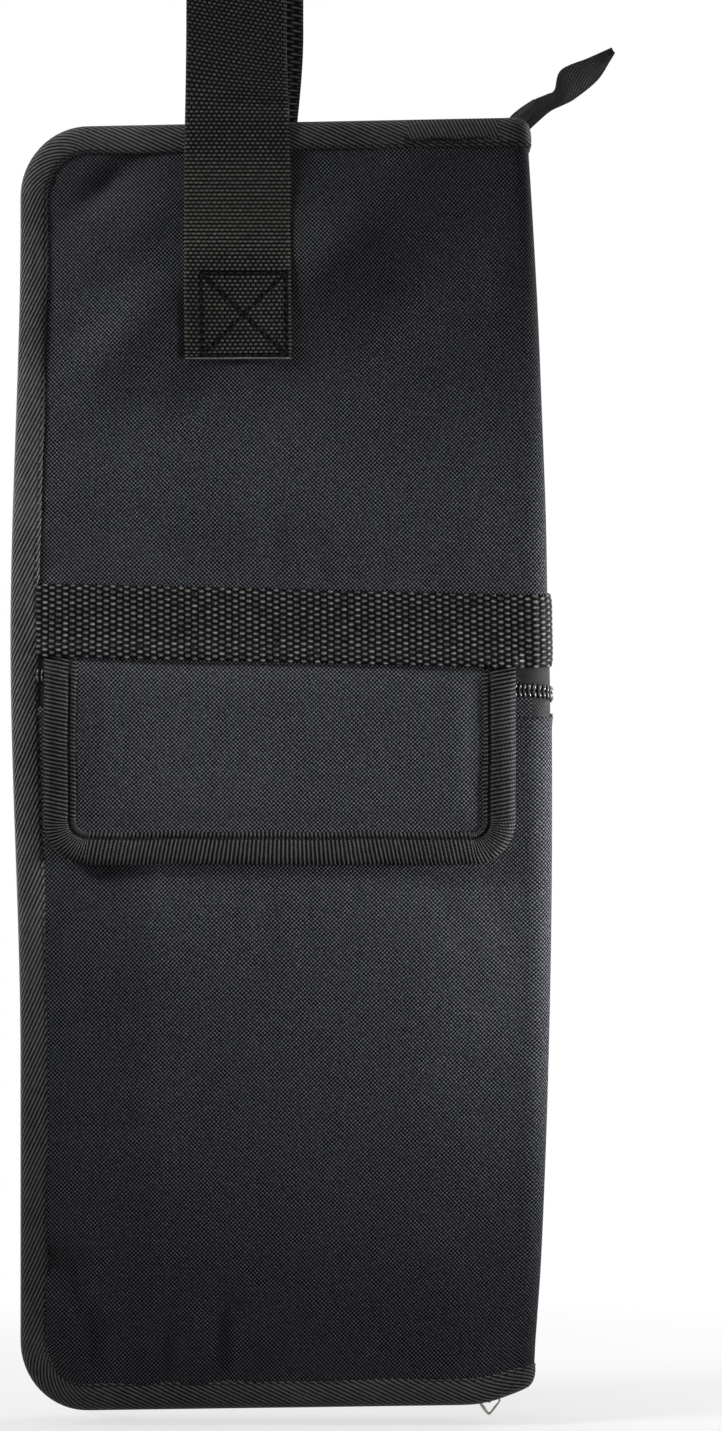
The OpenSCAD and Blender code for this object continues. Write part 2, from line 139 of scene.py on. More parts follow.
def bow(x, z, level=False):
    """A stuffed bag is widest at its waist, its edges aren't level, and its spine's foot is drawn up."""
    share = (x - EDGE_X) / (FOLD_X - EDGE_X)
    left = LEFT_DRAW * ease(abs(z - WAIST_Z) / DRAW_RUN) - LEFT_SWELL
    right = RIGHT_SWELL - RIGHT_DRAW * (z - BULGE_Z) ** 2
    x = x + left * (1 - share) + right * share
    top = np.clip((z - BELT_TOP) / (TOP_Z - BELT_TOP), 0, 1)
    bottom = 0 if level else np.clip((BELT_LOW - z) / (BELT_LOW - LOW_Z), 0, 1)
    heel = 0 if level else np.clip((LOW_Z + HEEL_H - z) / HEEL_H, 0, 1) ** 2
    rise = bottom * BOTTOM_TILT * (x - BOTTOM_LEVEL_X) + heel * HEEL_RISE * ease((x - HEEL_X) / HEEL_RUN) ** 2
    return x, z + top * TOP_TILT * (x - TOP_LEVEL_X) + rise


def wrap(side, u, z, out, level=False):
    """Where a point of a flat layer lies on the closed bag."""
    turn = np.clip((u - FLAT_U) / FOLD_R, 0, math.pi / 2)
    past = np.maximum(u - TURN_U, 0)
    x = EDGE_X + np.minimum(u, FLAT_U) + (FOLD_R + out) * np.sin(turn)
    depth = FACE_Y - FOLD_R + (FOLD_R + out) * np.cos(turn) - past
    x, z = bow(x, z, level)
    return x, side * depth, z


print("cloth from the zip edge to the middle of the spine:", round(MID_U / MM, 1), "mm")

# %% [markdown]
# From a flat grid to a piece of cloth
#
# Blender's grid primitive is a good bolt of cloth: even squares and a UV map. We add one, read each
# vertex's share of the width and the length, and lay it where a function says. The UV map then
# gets the cut size in metres, so that a weave keeps its scale on every piece.

# %% Grid helpers
def deselect():
    bpy.ops.object.select_all(action="DESELECT")


def read_points(piece):
    flat = np.empty(len(piece.data.vertices) * 3)
    piece.data.vertices.foreach_get("co", flat)
    return flat.reshape(-1, 3)


def write_points(piece, points):
    piece.data.vertices.foreach_set("co", np.asarray(points, np.float32).ravel())
    piece.data.update()


def as_points(place):
    """The points whose three coordinates a placing function gives apart."""
    return np.stack(np.broadcast_arrays(*place), 1)


def running_length(points):
    """How far along a line each of its points lies."""
    steps = np.linalg.norm(np.diff(points, axis=0), axis=1)
    return np.concatenate([[0], np.cumsum(steps)])


def lay(name, across, along, cut, place):
    """A grid laid out by place(a, b), which takes shares of the cut's width and length.

    A fourth value of place is kept on the mesh as a point attribute: 1 on top of a yarn and 0 in the gaps.
    The webbing's finish turns it into a painted highlight on the tops and painted shade in the gaps.
    """
    deselect()
    bpy.ops.mesh.primitive_grid_add(x_subdivisions=across, y_subdivisions=along, size=1)
    piece = bpy.context.object
    piece.name = piece.data.name = name
    a, b = (read_points(piece)[:, :2] + 0.5).T
    spot = np.broadcast_arrays(*place(a, b))
    write_points(piece, np.stack(spot[:3], 1))
    if len(spot) > 3:
        yarn_rise_and_highlight = piece.data.attributes.new("yarn_rise_and_highlight", "FLOAT", "POINT")
        yarn_rise_and_highlight.data.foreach_set("value", spot[3].astype(np.float32))
    corner = np.empty(len(piece.data.loops), np.int32)
    piece.data.loops.foreach_get("vertex_index", corner)
    flat = np.stack([a[corner] * cut[0], b[corner] * cut[1]], 1)
    piece.data.uv_layers[0].data.foreach_set("uv", flat.astype(np.float32).ravel())
    return piece


def edit(piece, *steps):
    """Runs mesh operators on all of a piece in edit mode, each with its settings."""
    deselect()
    piece.select_set(True)
    bpy.context.view_layer.objects.active = piece
    bpy.ops.object.mode_set(mode="EDIT")
    bpy.ops.mesh.select_all(action="SELECT")
    for operator, settings in steps:
        operator(**settings)
    bpy.ops.object.mode_set(mode="OBJECT")


def modify(piece, kind, **settings):
    """Adds a modifier with its settings and applies it."""
    deselect()
    piece.select_set(True)
    bpy.context.view_layer.objects.active = piece
    modifier = piece.modifiers.new(kind, kind)
    for name, value in settings.items():
        setattr(modifier, name, value)
    bpy.ops.object.modifier_apply(modifier=modifier.name)


def join(name, pieces):
    deselect()
    for piece in pieces:
        piece.select_set(True)
    bpy.context.view_layer.objects.active = pieces[0]
    bpy.ops.object.join()
    pieces[0].name = pieces[0].data.name = name
    return pieces[0]


def face_out(piece):
    edit(piece, (bpy.ops.mesh.normals_make_consistent, {"inside": False}))


def thicken(piece, thickness):
    """Gives a sheet its thickness, half to each side, and turns all its faces outwards."""
    modify(piece, "SOLIDIFY", thickness=thickness, offset=0)
    face_out(piece)


def close_tube(piece):
    """Sews up a grid that was rolled into a tube, and caps its two ends."""
    edit(piece, (bpy.ops.mesh.remove_doubles, {"threshold": 1e-6}))
    edit(
        piece,
        (bpy.ops.mesh.select_all, {"action": "DESELECT"}),
        (bpy.ops.mesh.select_non_manifold, {}),
        (bpy.ops.mesh.fill_holes, {"sides": 0}),
    )
    face_out(piece)


# %% [markdown]
# Joining a piece to the bag
#
# A piece of one half rides on that half. Cloth that turns the corner has to bend when the bag opens,
# but here it is only baked in place as it lies on the closed bag and is not blended to the spine.

# %% Riding and baking in place
HALF = {FRONT: "cover", BACK: "back"}
WORD = {FRONT: "front", BACK: "back"}


def dress(piece, finish, nodes=(), angle=None):
    """Gives a finished piece its material and smooth shading, and hides the solids that it stands for."""
    piece.data.materials.clear()
    piece.data.materials.append(finish)
    deselect()
    piece.select_set(True)
    bpy.context.view_layer.objects.active = piece
    if angle is None:
        bpy.ops.object.shade_smooth()
    else:
        bpy.ops.object.shade_smooth_by_angle(angle=math.radians(angle))
    if nodes:
        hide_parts(*nodes)
    print(piece.name, len(piece.data.polygons), "faces")
    return piece


def with_spine(side, node, spine_node):
    """The solids that a layer stands for: the front one takes in the spine's stretch as well."""
    return [node, spine_node] if side == FRONT else [node]


def bend_at_spine(piece):
    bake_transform(piece)


# %% [markdown]
# The camera
#
# The bag is seen square on, from a step or two away. Its long side fills the picture's height, so the
# lens follows from the distance and from the height that the frame has to take in.

# %% Set up the camera
VIEW_X, VIEW_Z = 43.9 * MM, -317 * MM
VIEW_H = 510.3 * MM
VIEW_DISTANCE = 1.7
deselect()
bpy.ops.object.camera_add(location=(VIEW_X, -FACE_Y - VIEW_DISTANCE, VIEW_Z), rotation=(math.pi / 2, 0, 0))
camera = bpy.context.object
camera.data.lens = camera.data.sensor_width * VIEW_DISTANCE / VIEW_H
camera.data.dof.use_dof = False
bpy.context.scene.camera = camera
print("lens", round(camera.data.lens, 1), "mm")

# %% [markdown]
# Writing materials as sums
#
# A weave is a formula: waves across and along the cloth, multiplied. Math nodes for it are quicker to read
# as Python, so a Wire wraps one socket, and each operator on it adds the Math node that it stands for. Any
# other node comes from one method, which sets the node up and plugs in what it is given.

# %% The Wire class
class Wire:
    def __init__(self, tree, socket):
        self.tree = tree
        self.socket = socket

    def node(self, kind, settings=None, out=0, **sockets):
        return add_node(self.tree, kind, settings, out, **sockets)

    def math(self, operation, *values):
        node = self.tree.nodes.new("ShaderNodeMath")
        node.operation = operation
        for place, value in enumerate(values):
            plug(self.tree, node.inputs[place], value)
        return Wire(self.tree, node.outputs[0])

    def __add__(self, other):
        return self.math("ADD", self, other)

    def __sub__(self, other):
        return self.math("SUBTRACT", self, other)

    def __rsub__(self, other):
        return self.math("SUBTRACT", other, self)

    def __mul__(self, other):
        return self.math("MULTIPLY", self, other)

    def __pow__(self, other):
        return self.math("POWER", self, other)

    def __abs__(self):
        return self.math("ABSOLUTE", self)

    __radd__ = __add__
    __rmul__ = __mul__

    def sin(self):
        return self.math("SINE", self)

    def clamp(self):
        return self.math("MINIMUM", self.math("MAXIMUM", self, 0.0), 1.0)


def plug(tree, socket, value):
    if isinstance(value, Wire):
        tree.links.new(value.socket, socket)
    else:
        socket.default_value = value


def add_node(tree, kind, settings=None, out=0, **sockets):
    """Adds any node: its settings first, then a value or a Wire for each named socket."""
    node = tree.nodes.new(kind)
    for name, value in (settings or {}).items():
        setattr(node, name, value)
    for name, value in sockets.items():
        plug(tree, node.inputs[name.replace("_", " ")], value)
    return Wire(tree, node.outputs[out])


def blend_colours(amount, low, high):
    mix = amount.tree.nodes.new("ShaderNodeMix")
    mix.data_type = "RGBA"
    plug(amount.tree, mix.inputs[0], amount)
    plug(amount.tree, mix.inputs[6], (*low, 1.0))
    plug(amount.tree, mix.inputs[7], (*high, 1.0))
    return Wire(amount.tree, mix.outputs[2])


def new_finish(name, **constants):
    """A material with one Principled shader, whose even values are set on its own sockets."""
    finish = bpy.data.materials.new(name)
    finish.use_nodes = True
    shader = finish.node_tree.nodes["Principled BSDF"]
    for socket, value in constants.items():
        shader.inputs[socket.replace("_", " ")].default_value = value
    return finish, finish.node_tree, shader


def cloth_place(tree):
    """The two distances on a piece's own cut, in metres, and the place on the object."""
    uv = add_node(tree, "ShaderNodeUVMap", {"uv_map": "UVMap"})
    split = tree.nodes.new("ShaderNodeSeparateXYZ")
    tree.links.new(uv.socket, split.inputs[0])
    place = add_node(tree, "ShaderNodeTexCoord", out=3)
    return Wire(tree, split.outputs[0]), Wire(tree, split.outputs[1]), place


def cloudy(place, scale, detail=3.0):
    """Slow, even noise from 0 to 1 over the object."""
    return place.node("ShaderNodeTexNoise", None, 0, Vector=place, Scale=scale, Detail=detail)


def finish_surface(tree, shader, colour, rough, height, depth):
    plug(tree, shader.inputs["Base Color"], colour)
    plug(tree, shader.inputs["Roughness"], rough)
    bump = add_node(tree, "ShaderNodeBump", None, 0, Height=height, Distance=depth, Strength=1.0)
    plug(tree, shader.inputs["Normal"], bump)


# %% [markdown]
# The outer cloth's finish
#
# The cloth is a black polyester basket weave with a faint blue cast. Thick yarns cross every 1.5 mm and
# stand up where they pass over. Two sine waves multiplied give just that chequer of knots: it drives the
# bump, and it is also painted into the colour, as a painted highlight that makes the yarns' tops paler and
# painted shade that makes the gaps between them almost black.

# %% Woven finishes
def woven_finish(name, pitch, dark, pale, rough, depth):
    finish, tree, shader = new_finish(name, Specular_IOR_Level=0.02)
    u, v, place = cloth_place(tree)
    turn = 2 * math.pi / pitch
    slub = cloudy(place, 900.0)
    worn = cloudy(place, 24.0)
    sway = (slub - 0.5) * 1.6
    knots = ((u * turn + sway).sin() * (v * turn + sway).sin() * 0.5 + 0.5) ** 2.4
    # The knots' share of the tone is painted light: pale yarn tops as painted highlight, near-black gaps as
    # painted shade.
    tone = (knots * (slub * 1.3 + 0.35) + worn * 0.10 - 0.06).clamp()
    height = knots + slub * 0.35
    finish_surface(tree, shader, blend_colours(tone, dark, pale), rough - knots * 0.12, height, depth)
    return finish


outer_cloth = woven_finish(
    "outer_fabric", 1.5 * MM, (0.001, 0.001, 0.0015), (0.124, 0.129, 0.145), 0.75, 0.07 * MM
)
lining_cloth = woven_finish(
    "lining_fabric", 0.8 * MM, (0.006, 0.006, 0.006), (0.044, 0.044, 0.048), 0.8, 0.12 * MM
)
print("woven:", outer_cloth.name, lining_cloth.name)

# %% [markdown]
# Tape, webbing and thread
#
# Binding tape is a ribbed twill: fine cords lie side by side and lean across the tape. Webbing has heavier
# yarns whose knots are modelled; its finish paints their tops pale as a painted highlight and the gaps
# black as painted shade, and adds fibres that vary it. Thread is twisted, and its waves run round it.

# %% Ribbed finishes
def ribbed_finish(name, pitch, angle, dark, pale, rough, depth, sharp=1.7, middle=None, shaded_channel=None):
    """Cords side by side, one for each pitch, at an angle in degrees to the tape's length.

    With a middle, a distance along the tape, the cords lean the other way on its two sides. Along a
    channel, a distance across the tape, the colour is painted dark as painted shade, where a sunken groove
    lies in shadow.
    """
    finish, tree, shader = new_finish(name, Specular_IOR_Level=0.04)
    u, v, place = cloth_place(tree)
    across, along = math.cos(math.radians(angle)), math.sin(math.radians(angle))
    slub = cloudy(place, 420.0)
    worn = cloudy(place, 34.0)
    lean = u if middle is None else u * (((v - middle) * 15.0 + 0.5).clamp() * 2.0 - 1.0)
    cord = abs(((lean * across - v * along) * (math.pi / pitch) + (slub - 0.5) * 0.9).sin()) ** sharp
    weft = ((u * along + v * across) * (2 * math.pi / (1.1 * MM))).sin() * 0.5 + 0.5
    # The cords' share of the tone is painted light: pale cord tops as painted highlight, dark gaps between
    # cords as painted shade.
    tone = (cord * (slub * 0.7 + 0.45) + weft * 0.1 + worn * 0.4 - 0.3).clamp()
    # Painted shade: the tone goes to black along the channel, where the sunken groove beside the stitched lip
    # lies in shadow.
    if shaded_channel is not None:
        tone = tone * (abs(u - shaded_channel) * 900.0).clamp()
    height = cord + weft * 0.2 + slub * 0.3
    finish_surface(tree, shader, blend_colours(tone, dark, pale), rough - cord * 0.1, height, depth)
    return finish


BLACK = (0.002, 0.002, 0.002)
edge_tape = ribbed_finish("binding_tape", 1.25 * MM, 25, BLACK, (0.142, 0.143, 0.145), 0.6, 0.12 * MM, 2.0)
flap_tape = ribbed_finish(
    "flap_tape",
    1.4 * MM,
    78,
    BLACK,
    (0.080, 0.080, 0.078),
    0.6,
    0.14 * MM,
    sharp=4.4,
    middle=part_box("flap_binding")[1].x * 1.6,
    # painted shade along the groove beside the flap tape's stitched lip
    shaded_channel=2.6 * MM,
)
tail_weave = ribbed_finish(
    "tail_tape", 0.8 * MM, 45, (0.020, 0.020, 0.020), (0.150, 0.150, 0.154), 0.68, 0.1 * MM
)
zip_weave = ribbed_finish(
    "zip_tape", 0.8 * MM, 45, (0.006, 0.006, 0.006), (0.050, 0.050, 0.052), 0.68, 0.1 * MM
)
thread = ribbed_finish("thread", 0.6 * MM, 45, BLACK, (0.034, 0.034, 0.034), 0.5, 0.05 * MM)
print("ribbed:", edge_tape.name, flap_tape.name, tail_weave.name, zip_weave.name, thread.name)

# %% Webbing finish
def yarn_finish(name, pale, rough, sharp, uneven):
    """Webbing whose yarns are modelled: a value on the mesh, 1 on a yarn's top and 0 in the gaps, is painted
    as a highlight on the tops and as shade in the gaps.
    """
    finish, tree, shader = new_finish(name, Specular_IOR_Level=0.04)
    place = add_node(tree, "ShaderNodeTexCoord", out=3)
    yarn_rise_and_highlight = add_node(tree, "ShaderNodeAttribute", {"attribute_name": "yarn_rise_and_highlight"}, out=2)
    fibre = cloudy(place, 900.0)
    slub = cloudy(place, 560.0)
    catch = ((slub - 0.5) * uneven + (fibre - 0.5) * 1.2 + 0.62).clamp()
    # Painted light: yarn tops painted pale as a highlight, unevenly where catch varies; gaps painted
    # near-black as shade.
    tone = (yarn_rise_and_highlight**sharp * catch).clamp()
    finish_surface(tree, shader, blend_colours(tone, BLACK, pale), rough - yarn_rise_and_highlight * 0.15, fibre, 0.12 * MM)
    return finish


belt_yarn = yarn_finish("belt_webbing", (0.345, 0.345, 0.336), 0.5, 3.1, 2.2)
strap_yarn = yarn_finish("webbing", (0.212, 0.202, 0.187), 0.55, 3.3, 0.7)
print("webbing:", belt_yarn.name, strap_yarn.name)

# %% [markdown]
# Coil, enamel, wire and foam
#
# The zips have moulded nylon coils, which shine a little more than cloth. The sliders are painted
# black and rub bright along their edges, the pull rings are bare drawn wire, and the padding is a grey
# closed-cell foam that nobody sees until the bag is cut open.

# %% Plain finishes
def moulded_finish(name, dark, pale, rough, grain, depth, **constants):
    finish, tree, shader = new_finish(name, **constants)
    place = add_node(tree, "ShaderNodeTexCoord", out=3)
    speck = cloudy(place, grain, 4.0)
    rubbed = cloudy(place, 90.0)
    tone = (speck * 0.7 + rubbed * 0.6 - 0.15).clamp()
    finish_surface(tree, shader, blend_colours(tone, dark, pale), rough + speck * 0.2 - 0.1, speck, depth)
    return finish


nylon = moulded_finish(
    "zip_teeth", (0.010, 0.010, 0.010), (0.045, 0.045, 0.046), 0.34, 900.0, 0.04 * MM, Specular_IOR_Level=0.5
)
enamel = moulded_finish(
    "slider_enamel", (0.008, 0.008, 0.008), (0.035, 0.034, 0.033), 0.3, 600.0, 0.03 * MM, Coat_Weight=0.5
)
wire = moulded_finish(
    "zip_metal", (0.16, 0.155, 0.13), (0.42, 0.41, 0.37), 0.3, 700.0, 0.02 * MM, Metallic=1.0
)
foam = moulded_finish("foam", (0.22, 0.22, 0.22), (0.34, 0.34, 0.34), 0.85, 500.0, 0.3 * MM)
print("moulded:", nylon.name, enamel.name, wire.name, foam.name)

# %% [markdown]
# How the cloth lies
#
# The cloth is laid over foam, so it swells between its seams, is pulled down by the belt and dips under the
# binding. A few creases show where the bag has been carried. Each crease is a line with a width and a
# depth, and everything sewn on the face uses the same relief, so that nothing floats or sinks.

# %% Relief of the two faces
SWELL, SWELL_RUN, SPINE_RUN = 1.5 * MM, 40 * MM, 45 * MM
WAVE_H = 0.22 * MM
BELT_HOLD, BELT_HOLD_RUN = 0.75, 24 * MM
EDGE_DIP = 1.3 * MM
BELT_Z = (BELT_LOW + BELT_TOP) / 2
FRONT_CREASES = [
    (43, -118, 22, -134, 5, -1.7),
    (56, -131, 38, -147, 8, 0.9),
    (61, -156, 27, -200, 12, 2.0),
    (80, -176, 46, -218, 14, -2.1),
    (102, -166, 128, -138, 11, 1.7),
    (160, -150, 106, -196, 18, -2.3),
    (70, -206, 160, -204, 20, -1.6),
    (60, -246, 170, -246, 16, 1.1),
    (134, -119, 152, -126, 8, 0.8),
    (176, -150, 178, -192, 7, 1.2),
    (12, -509, 30, -523, 5, -1.9),
    (15, -519, 18, -545, 5, 1.1),
    (30, -529, 31, -552, 5, -0.9),
    (46, -534, 46, -553, 7, 0.9),
    (56, -537, 56, -553, 4, -0.6),
    (64, -531, 65, -553, 6, 1.0),
    (76, -527, 77, -553, 4.5, -1.3),
    (88, -529, 88, -553, 7, 0.6),
    (160, -500, 185, -545, 11, -1.0),
]
BACK_CREASES = [
    (22, -134, 46, -118, 5, -1.4),
    (30, -196, 62, -150, 13, 1.3),
    (50, -130, 58, -142, 8, 0.8),
    (140, -160, 175, -122, 11, 1.1),
    (118, -172, 150, -138, 12, -1.0),
    (12, -510, 32, -526, 5, -1.5),
    (40, -532, 42, -553, 6, 0.9),
    (58, -528, 58, -553, 5, -1.0),
    (120, -505, 175, -540, 12, 0.9),
]
CREASES = {FRONT: FRONT_CREASES, BACK: BACK_CREASES}
CREASE_GAIN = 2.2


def crease(u, z, u0, z0, u1, z1, width, depth):
    """Height of one crease, a line on the flat cloth, in millimetres."""
    run = np.array([u1 - u0, z1 - z0], float)
    along = np.clip(((u / MM - u0) * run[0] + (z / MM - z0) * run[1]) / (run @ run), 0, 1)
    away = np.hypot(u / MM - u0 - along * run[0], z / MM - z0 - along * run[1])
    return CREASE_GAIN * depth * MM * np.exp(-((away / width) ** 2)) * (0.35 + 0.65 * np.sin(math.pi * along))


def padded_form(u, z):
    """Height of the outer cloth over a flat face before it creases."""
    inside = np.minimum(np.minimum(u, TOP_Z - z), z - LOW_Z)
    swell = ease((inside - BINDING_W) / SWELL_RUN) * ease((MID_U - u) / SPINE_RUN)
    held = 1 - BELT_HOLD * np.exp(-(((z - BELT_Z) / BELT_HOLD_RUN) ** 2))
    waves = np.sin(u / (17 * MM) + 2 * np.sin(z / (41 * MM))) * np.sin(z / (23 * MM) + u / (60 * MM))
    dip = EDGE_DIP * (1 - ease(inside / (BINDING_W + 2 * MM)))
    return SWELL * swell * held + WAVE_H * waves * swell - dip


print("creases:", len(FRONT_CREASES), "on the front,", len(BACK_CREASES), "on the back")

# %% [markdown]
# Letting the padding fill the cloth
#
# Cloth that is pushed out by foam finds its own shape between its seams. Blender's cloth solver knows it
# better than a formula. A sheet of each face is held at the binding, the belt, the spine and the strap's
# sewn box, cut a little too large, and blown out for twenty frames. What it rises by is capped and kept
# as a table of heights, which all that is sewn to the face then follows.

# %% Cloth simulation of the two faces
SETTLE_FACES = (62, 154)
SETTLE_PRESSURE, SETTLE_SPARE = 4.0, 0.006
SETTLE_SHARE, SETTLE_MOST = 0.55, 3.6 * MM
SETTLE_FRAMES = 20
DEEPEST = -2.6 * MM
FLAP_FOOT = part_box("flap_binding")[0].z
STRAP_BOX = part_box("handle_front_half")


def held_down(side, u, z):
    """True where something sewn on keeps the cloth from rising."""
    inside = np.minimum(np.minimum(u, TOP_Z - z), z - LOW_Z)
    edge = (inside < BINDING_W + 1 * MM) | (u > FLAT_U - 3 * MM)
    foot = FLAP_FOOT - 4 * MM if side == FRONT else POCKET_TOP - 8 * MM
    band = (z > foot) & (z < BELT_TOP + 2 * MM)
    x = u + EDGE_X
    under = (x > STRAP_BOX[0].x) & (x < STRAP_BOX[1].x)
    box = under & (z > STRAP_BOX[0].z) & (z < STRAP_BOX[0].z + 30 * MM)
    return edge | band | box


def settle(side):
    """Rise of the blown cloth over its padded form, by rows up the face and columns across it."""
    size = (FLAT_U, TOP_Z - LOW_Z)

    def place(a, b):
        u, z = a * size[0], LOW_Z + b * size[1]
        return EDGE_X + u, side * (FACE_Y + padded_form(u, z)), z

    sheet = lay("settling", *SETTLE_FACES, size, place)
    before = read_points(sheet)
    held = np.nonzero(held_down(side, before[:, 0] - EDGE_X, before[:, 2]))[0]
    sheet.vertex_groups.new(name="held").add(held.tolist(), 1.0, "REPLACE")
    cloth = sheet.modifiers.new("cloth", "CLOTH")
    cloth.settings.vertex_group_mass = "held"
    cloth.settings.use_pressure = True
    cloth.settings.uniform_pressure_force = -side * SETTLE_PRESSURE
    cloth.settings.effector_weights.gravity = 0
    cloth.settings.shrink_min = -SETTLE_SPARE
    for number in range(SETTLE_FRAMES):
        bpy.context.scene.frame_set(number + 1)
    bpy.ops.object.modifier_apply(modifier="cloth")
    rise = side * (read_points(sheet) - before)[:, 1]
    bpy.data.objects.remove(sheet)
    bpy.context.scene.frame_set(1)
    print("settled: rises from", round(rise.min() / MM, 2), "to", round(rise.max() / MM, 2), "mm")
    rise = SETTLE_MOST * np.tanh(SETTLE_SHARE * rise / SETTLE_MOST)
    return rise.reshape(SETTLE_FACES[1] + 1, SETTLE_FACES[0] + 1)


settled = {side: settle(side) for side in HALF}


def relief(side, u, z):
    """Height of the outer cloth over a flat face: its form, what the padding adds, and its creases."""
    u, z = np.broadcast_arrays(u, z)
    column = np.clip(u / FLAT_U, 0, 1) * SETTLE_FACES[0]
    row = np.clip((z - LOW_Z) / (TOP_Z - LOW_Z), 0, 1) * SETTLE_FACES[1]
    left = np.minimum(column.astype(int), SETTLE_FACES[0] - 1)
    low = np.minimum(row.astype(int), SETTLE_FACES[1] - 1)
    table = settled[side]
    across, up = column - left, row - low
    lower = table[low, left] * (1 - across) + table[low, left + 1] * across
    upper = table[low + 1, left] * (1 - across) + table[low + 1, left + 1] * across
    height = padded_form(u, z) + lower * (1 - up) + upper * up
    for line in CREASES[side]:
        height = height + crease(u, z, *line)
    return np.maximum(height, DEEPEST)


# %% [markdown]
# Outer cloth, foam and lining
#
# Each half is a sandwich: outer cloth, a foam sheet and a thin lining. A block with three colours would
# do from far off, but the layers show at the edges and when the bag opens. Each layer is one grid with two
# rounded corners on the zip side, wrapped round to the middle of the spine. The foam follows half of the
# cloth's relief, and the lining gives way where a deep crease presses the foam against it.

# %% Layers of the two halves
LAYER_FACES = (96, 210)
SHELL_T, FOAM_T, LINING_T = 0.8 * MM, 3.2 * MM, 0.6 * MM
SHELL_INSET, FOAM_INSET, LINING_INSET = 1.4 * MM, 2.2 * MM, 1.6 * MM
FOAM_PRESSED, FOAM_GAP = 0.9 * MM, 0.3 * MM


def round_corners(u, z, low, high, radius):
    """Moves the square corners of a flat cut at u = 0 onto a round of that radius."""
    p = np.clip((radius - u) / radius, 0, 1)
    q = np.maximum(np.clip((z - high + radius) / radius, 0, 1), np.clip((low + radius - z) / radius, 0, 1))
    upper = z > (low + high) / 2
    new_u = np.where(p > 0, radius - radius * p * np.sqrt(1 - q * q / 2), u)
    reach = radius * q * np.sqrt(1 - p * p / 2)
    new_z = np.where(q > 0, np.where(upper, high - radius + reach, low + radius - reach), z)
    return new_u, new_z


def layer(name, side, inset, out_share, out_shift, end_u, most=math.inf):
    """One layer of a half: out_share says how much of the cloth's relief it follows, up to most."""
    low, high = LOW_Z + inset, TOP_Z - inset
    size = (end_u - inset, high - low)

    def place(a, b):
        u, z = round_corners(a * size[0], low + b * size[1], low, high, CORNER_R - inset)
        u = u + inset
        height = np.minimum(relief(side, u, z) * out_share, most)
        return wrap(side, u, z, height + out_shift)

    return lay(name, *LAYER_FACES, size, place), size


for side, half in HALF.items():
    word = WORD[side]
    cloth, size = layer(f"{word}_cloth", side, SHELL_INSET, 1.0, -SHELL_T / 2, MID_U)
    thicken(cloth, SHELL_T)
    dress(cloth, outer_cloth, with_spine(side, f"{half}_shell", "spine_shell"))
    bend_at_spine(cloth)

    deep = -SHELL_T - FOAM_T / 2 - FOAM_GAP
    pad, _ = layer(f"{word}_foam", side, FOAM_INSET, 0.5, deep, MID_U - 0.1 * MM)
    thicken(pad, FOAM_T - FOAM_PRESSED)
    dress(pad, foam, with_spine(side, f"{half}_padding", "spine_padding"))
    bend_at_spine(pad)

    lining, size = layer(f"{word}_lining_cloth", side, LINING_INSET, 0.5, -PANEL_T + LINING_T / 2, MID_U, 0.0)
    thicken(lining, LINING_T * 0.8)
    dress(lining, lining_cloth, with_spine(side, f"{half}_lining", "spine_lining"))
    bend_at_spine(lining)

# %% [markdown]
# Small shapes that repeat
#
# Stitches and coil teeth come by the hundred. One bead is modelled, and each copy is stretched and
# turned to its place in a single mesh, which keeps the count of faces low and the seams editable.

# %% Copies of one bead
def model_bead(segments, rings):
    deselect()
    bpy.ops.mesh.primitive_uv_sphere_add(segments=segments, ring_count=rings, radius=1)
    bead = bpy.context.object
    shape = read_points(bead), [list(face.vertices) for face in bead.data.polygons]
    bpy.data.objects.remove(bead)
    return shape


def copies(name, bead, middles, axes):
    """One mesh of many beads: axes holds three half lengths for each copy, as vectors."""
    points, faces = bead
    placed = middles[:, None, :] + np.einsum("pk,nkj->npj", points, axes)
    shifted = [[v + len(points) * i for v in face] for i in range(len(middles)) for face in faces]
    mesh = bpy.data.meshes.new(name)
    mesh.from_pydata(placed.reshape(-1, 3).tolist(), [], shifted)
    sizes = np.linalg.norm(axes, axis=2)
    flat = (points[None, :, :2] * sizes[:, None, :2]).reshape(-1, 2)
    corner = np.array([v for face in shifted for v in face])
    mesh.uv_layers.new(name="UVMap").data.foreach_set("uv", flat[corner].astype(np.float32).ravel())
    piece = bpy.data.objects.new(name, mesh)
    bpy.context.scene.collection.objects.link(piece)
    return piece


def unit(vectors):
    return vectors / np.linalg.norm(vectors, axis=-1, keepdims=True)


STITCH_L, STITCH_GAP = 3 * MM, 0.22


def stitches(name, rows, width=0.55 * MM, height=0.4 * MM):
    """Rows of stitches: each row is its points and the outward way at each of them."""
    middles, axes = [], []
    for points, outward in rows:
        ahead = np.diff(points, axis=0)
        up = unit(outward[:-1] + outward[1:])
        beside = unit(np.cross(up, ahead))
        middles.append((points[:-1] + points[1:]) / 2)
        axes.append(np.stack([ahead * (1 - STITCH_GAP) / 2, beside * width / 2, up * height / 2], 1))
    return copies(name, STITCH, np.concatenate(middles), np.concatenate(axes))


def on_bag(side, u, z, out):
    """Points of a flat layer on the bag, and the outward way at each."""
    u, z, out = np.broadcast_arrays(u, z, out)
    here = as_points(wrap(side, u, z, out))
    return here, unit(as_points(wrap(side, u, z, out + 0.1 * MM)) - here)


STITCH = model_bead(6, 4)
TOOTH = model_bead(8, 6)
print("bead faces:", len(STITCH[1]), "for a stitch,", len(TOOTH[1]), "for a tooth")

# %% [markdown]
# The edge binding
#
# A tape is folded over the raw edge of each half and sewn through all layers. It swells over the foam's
# edge like piping. We follow the edge from the top of the spine, round the two corners on the zip side and
# back to the spine, and sweep the folded tape's profile along it.

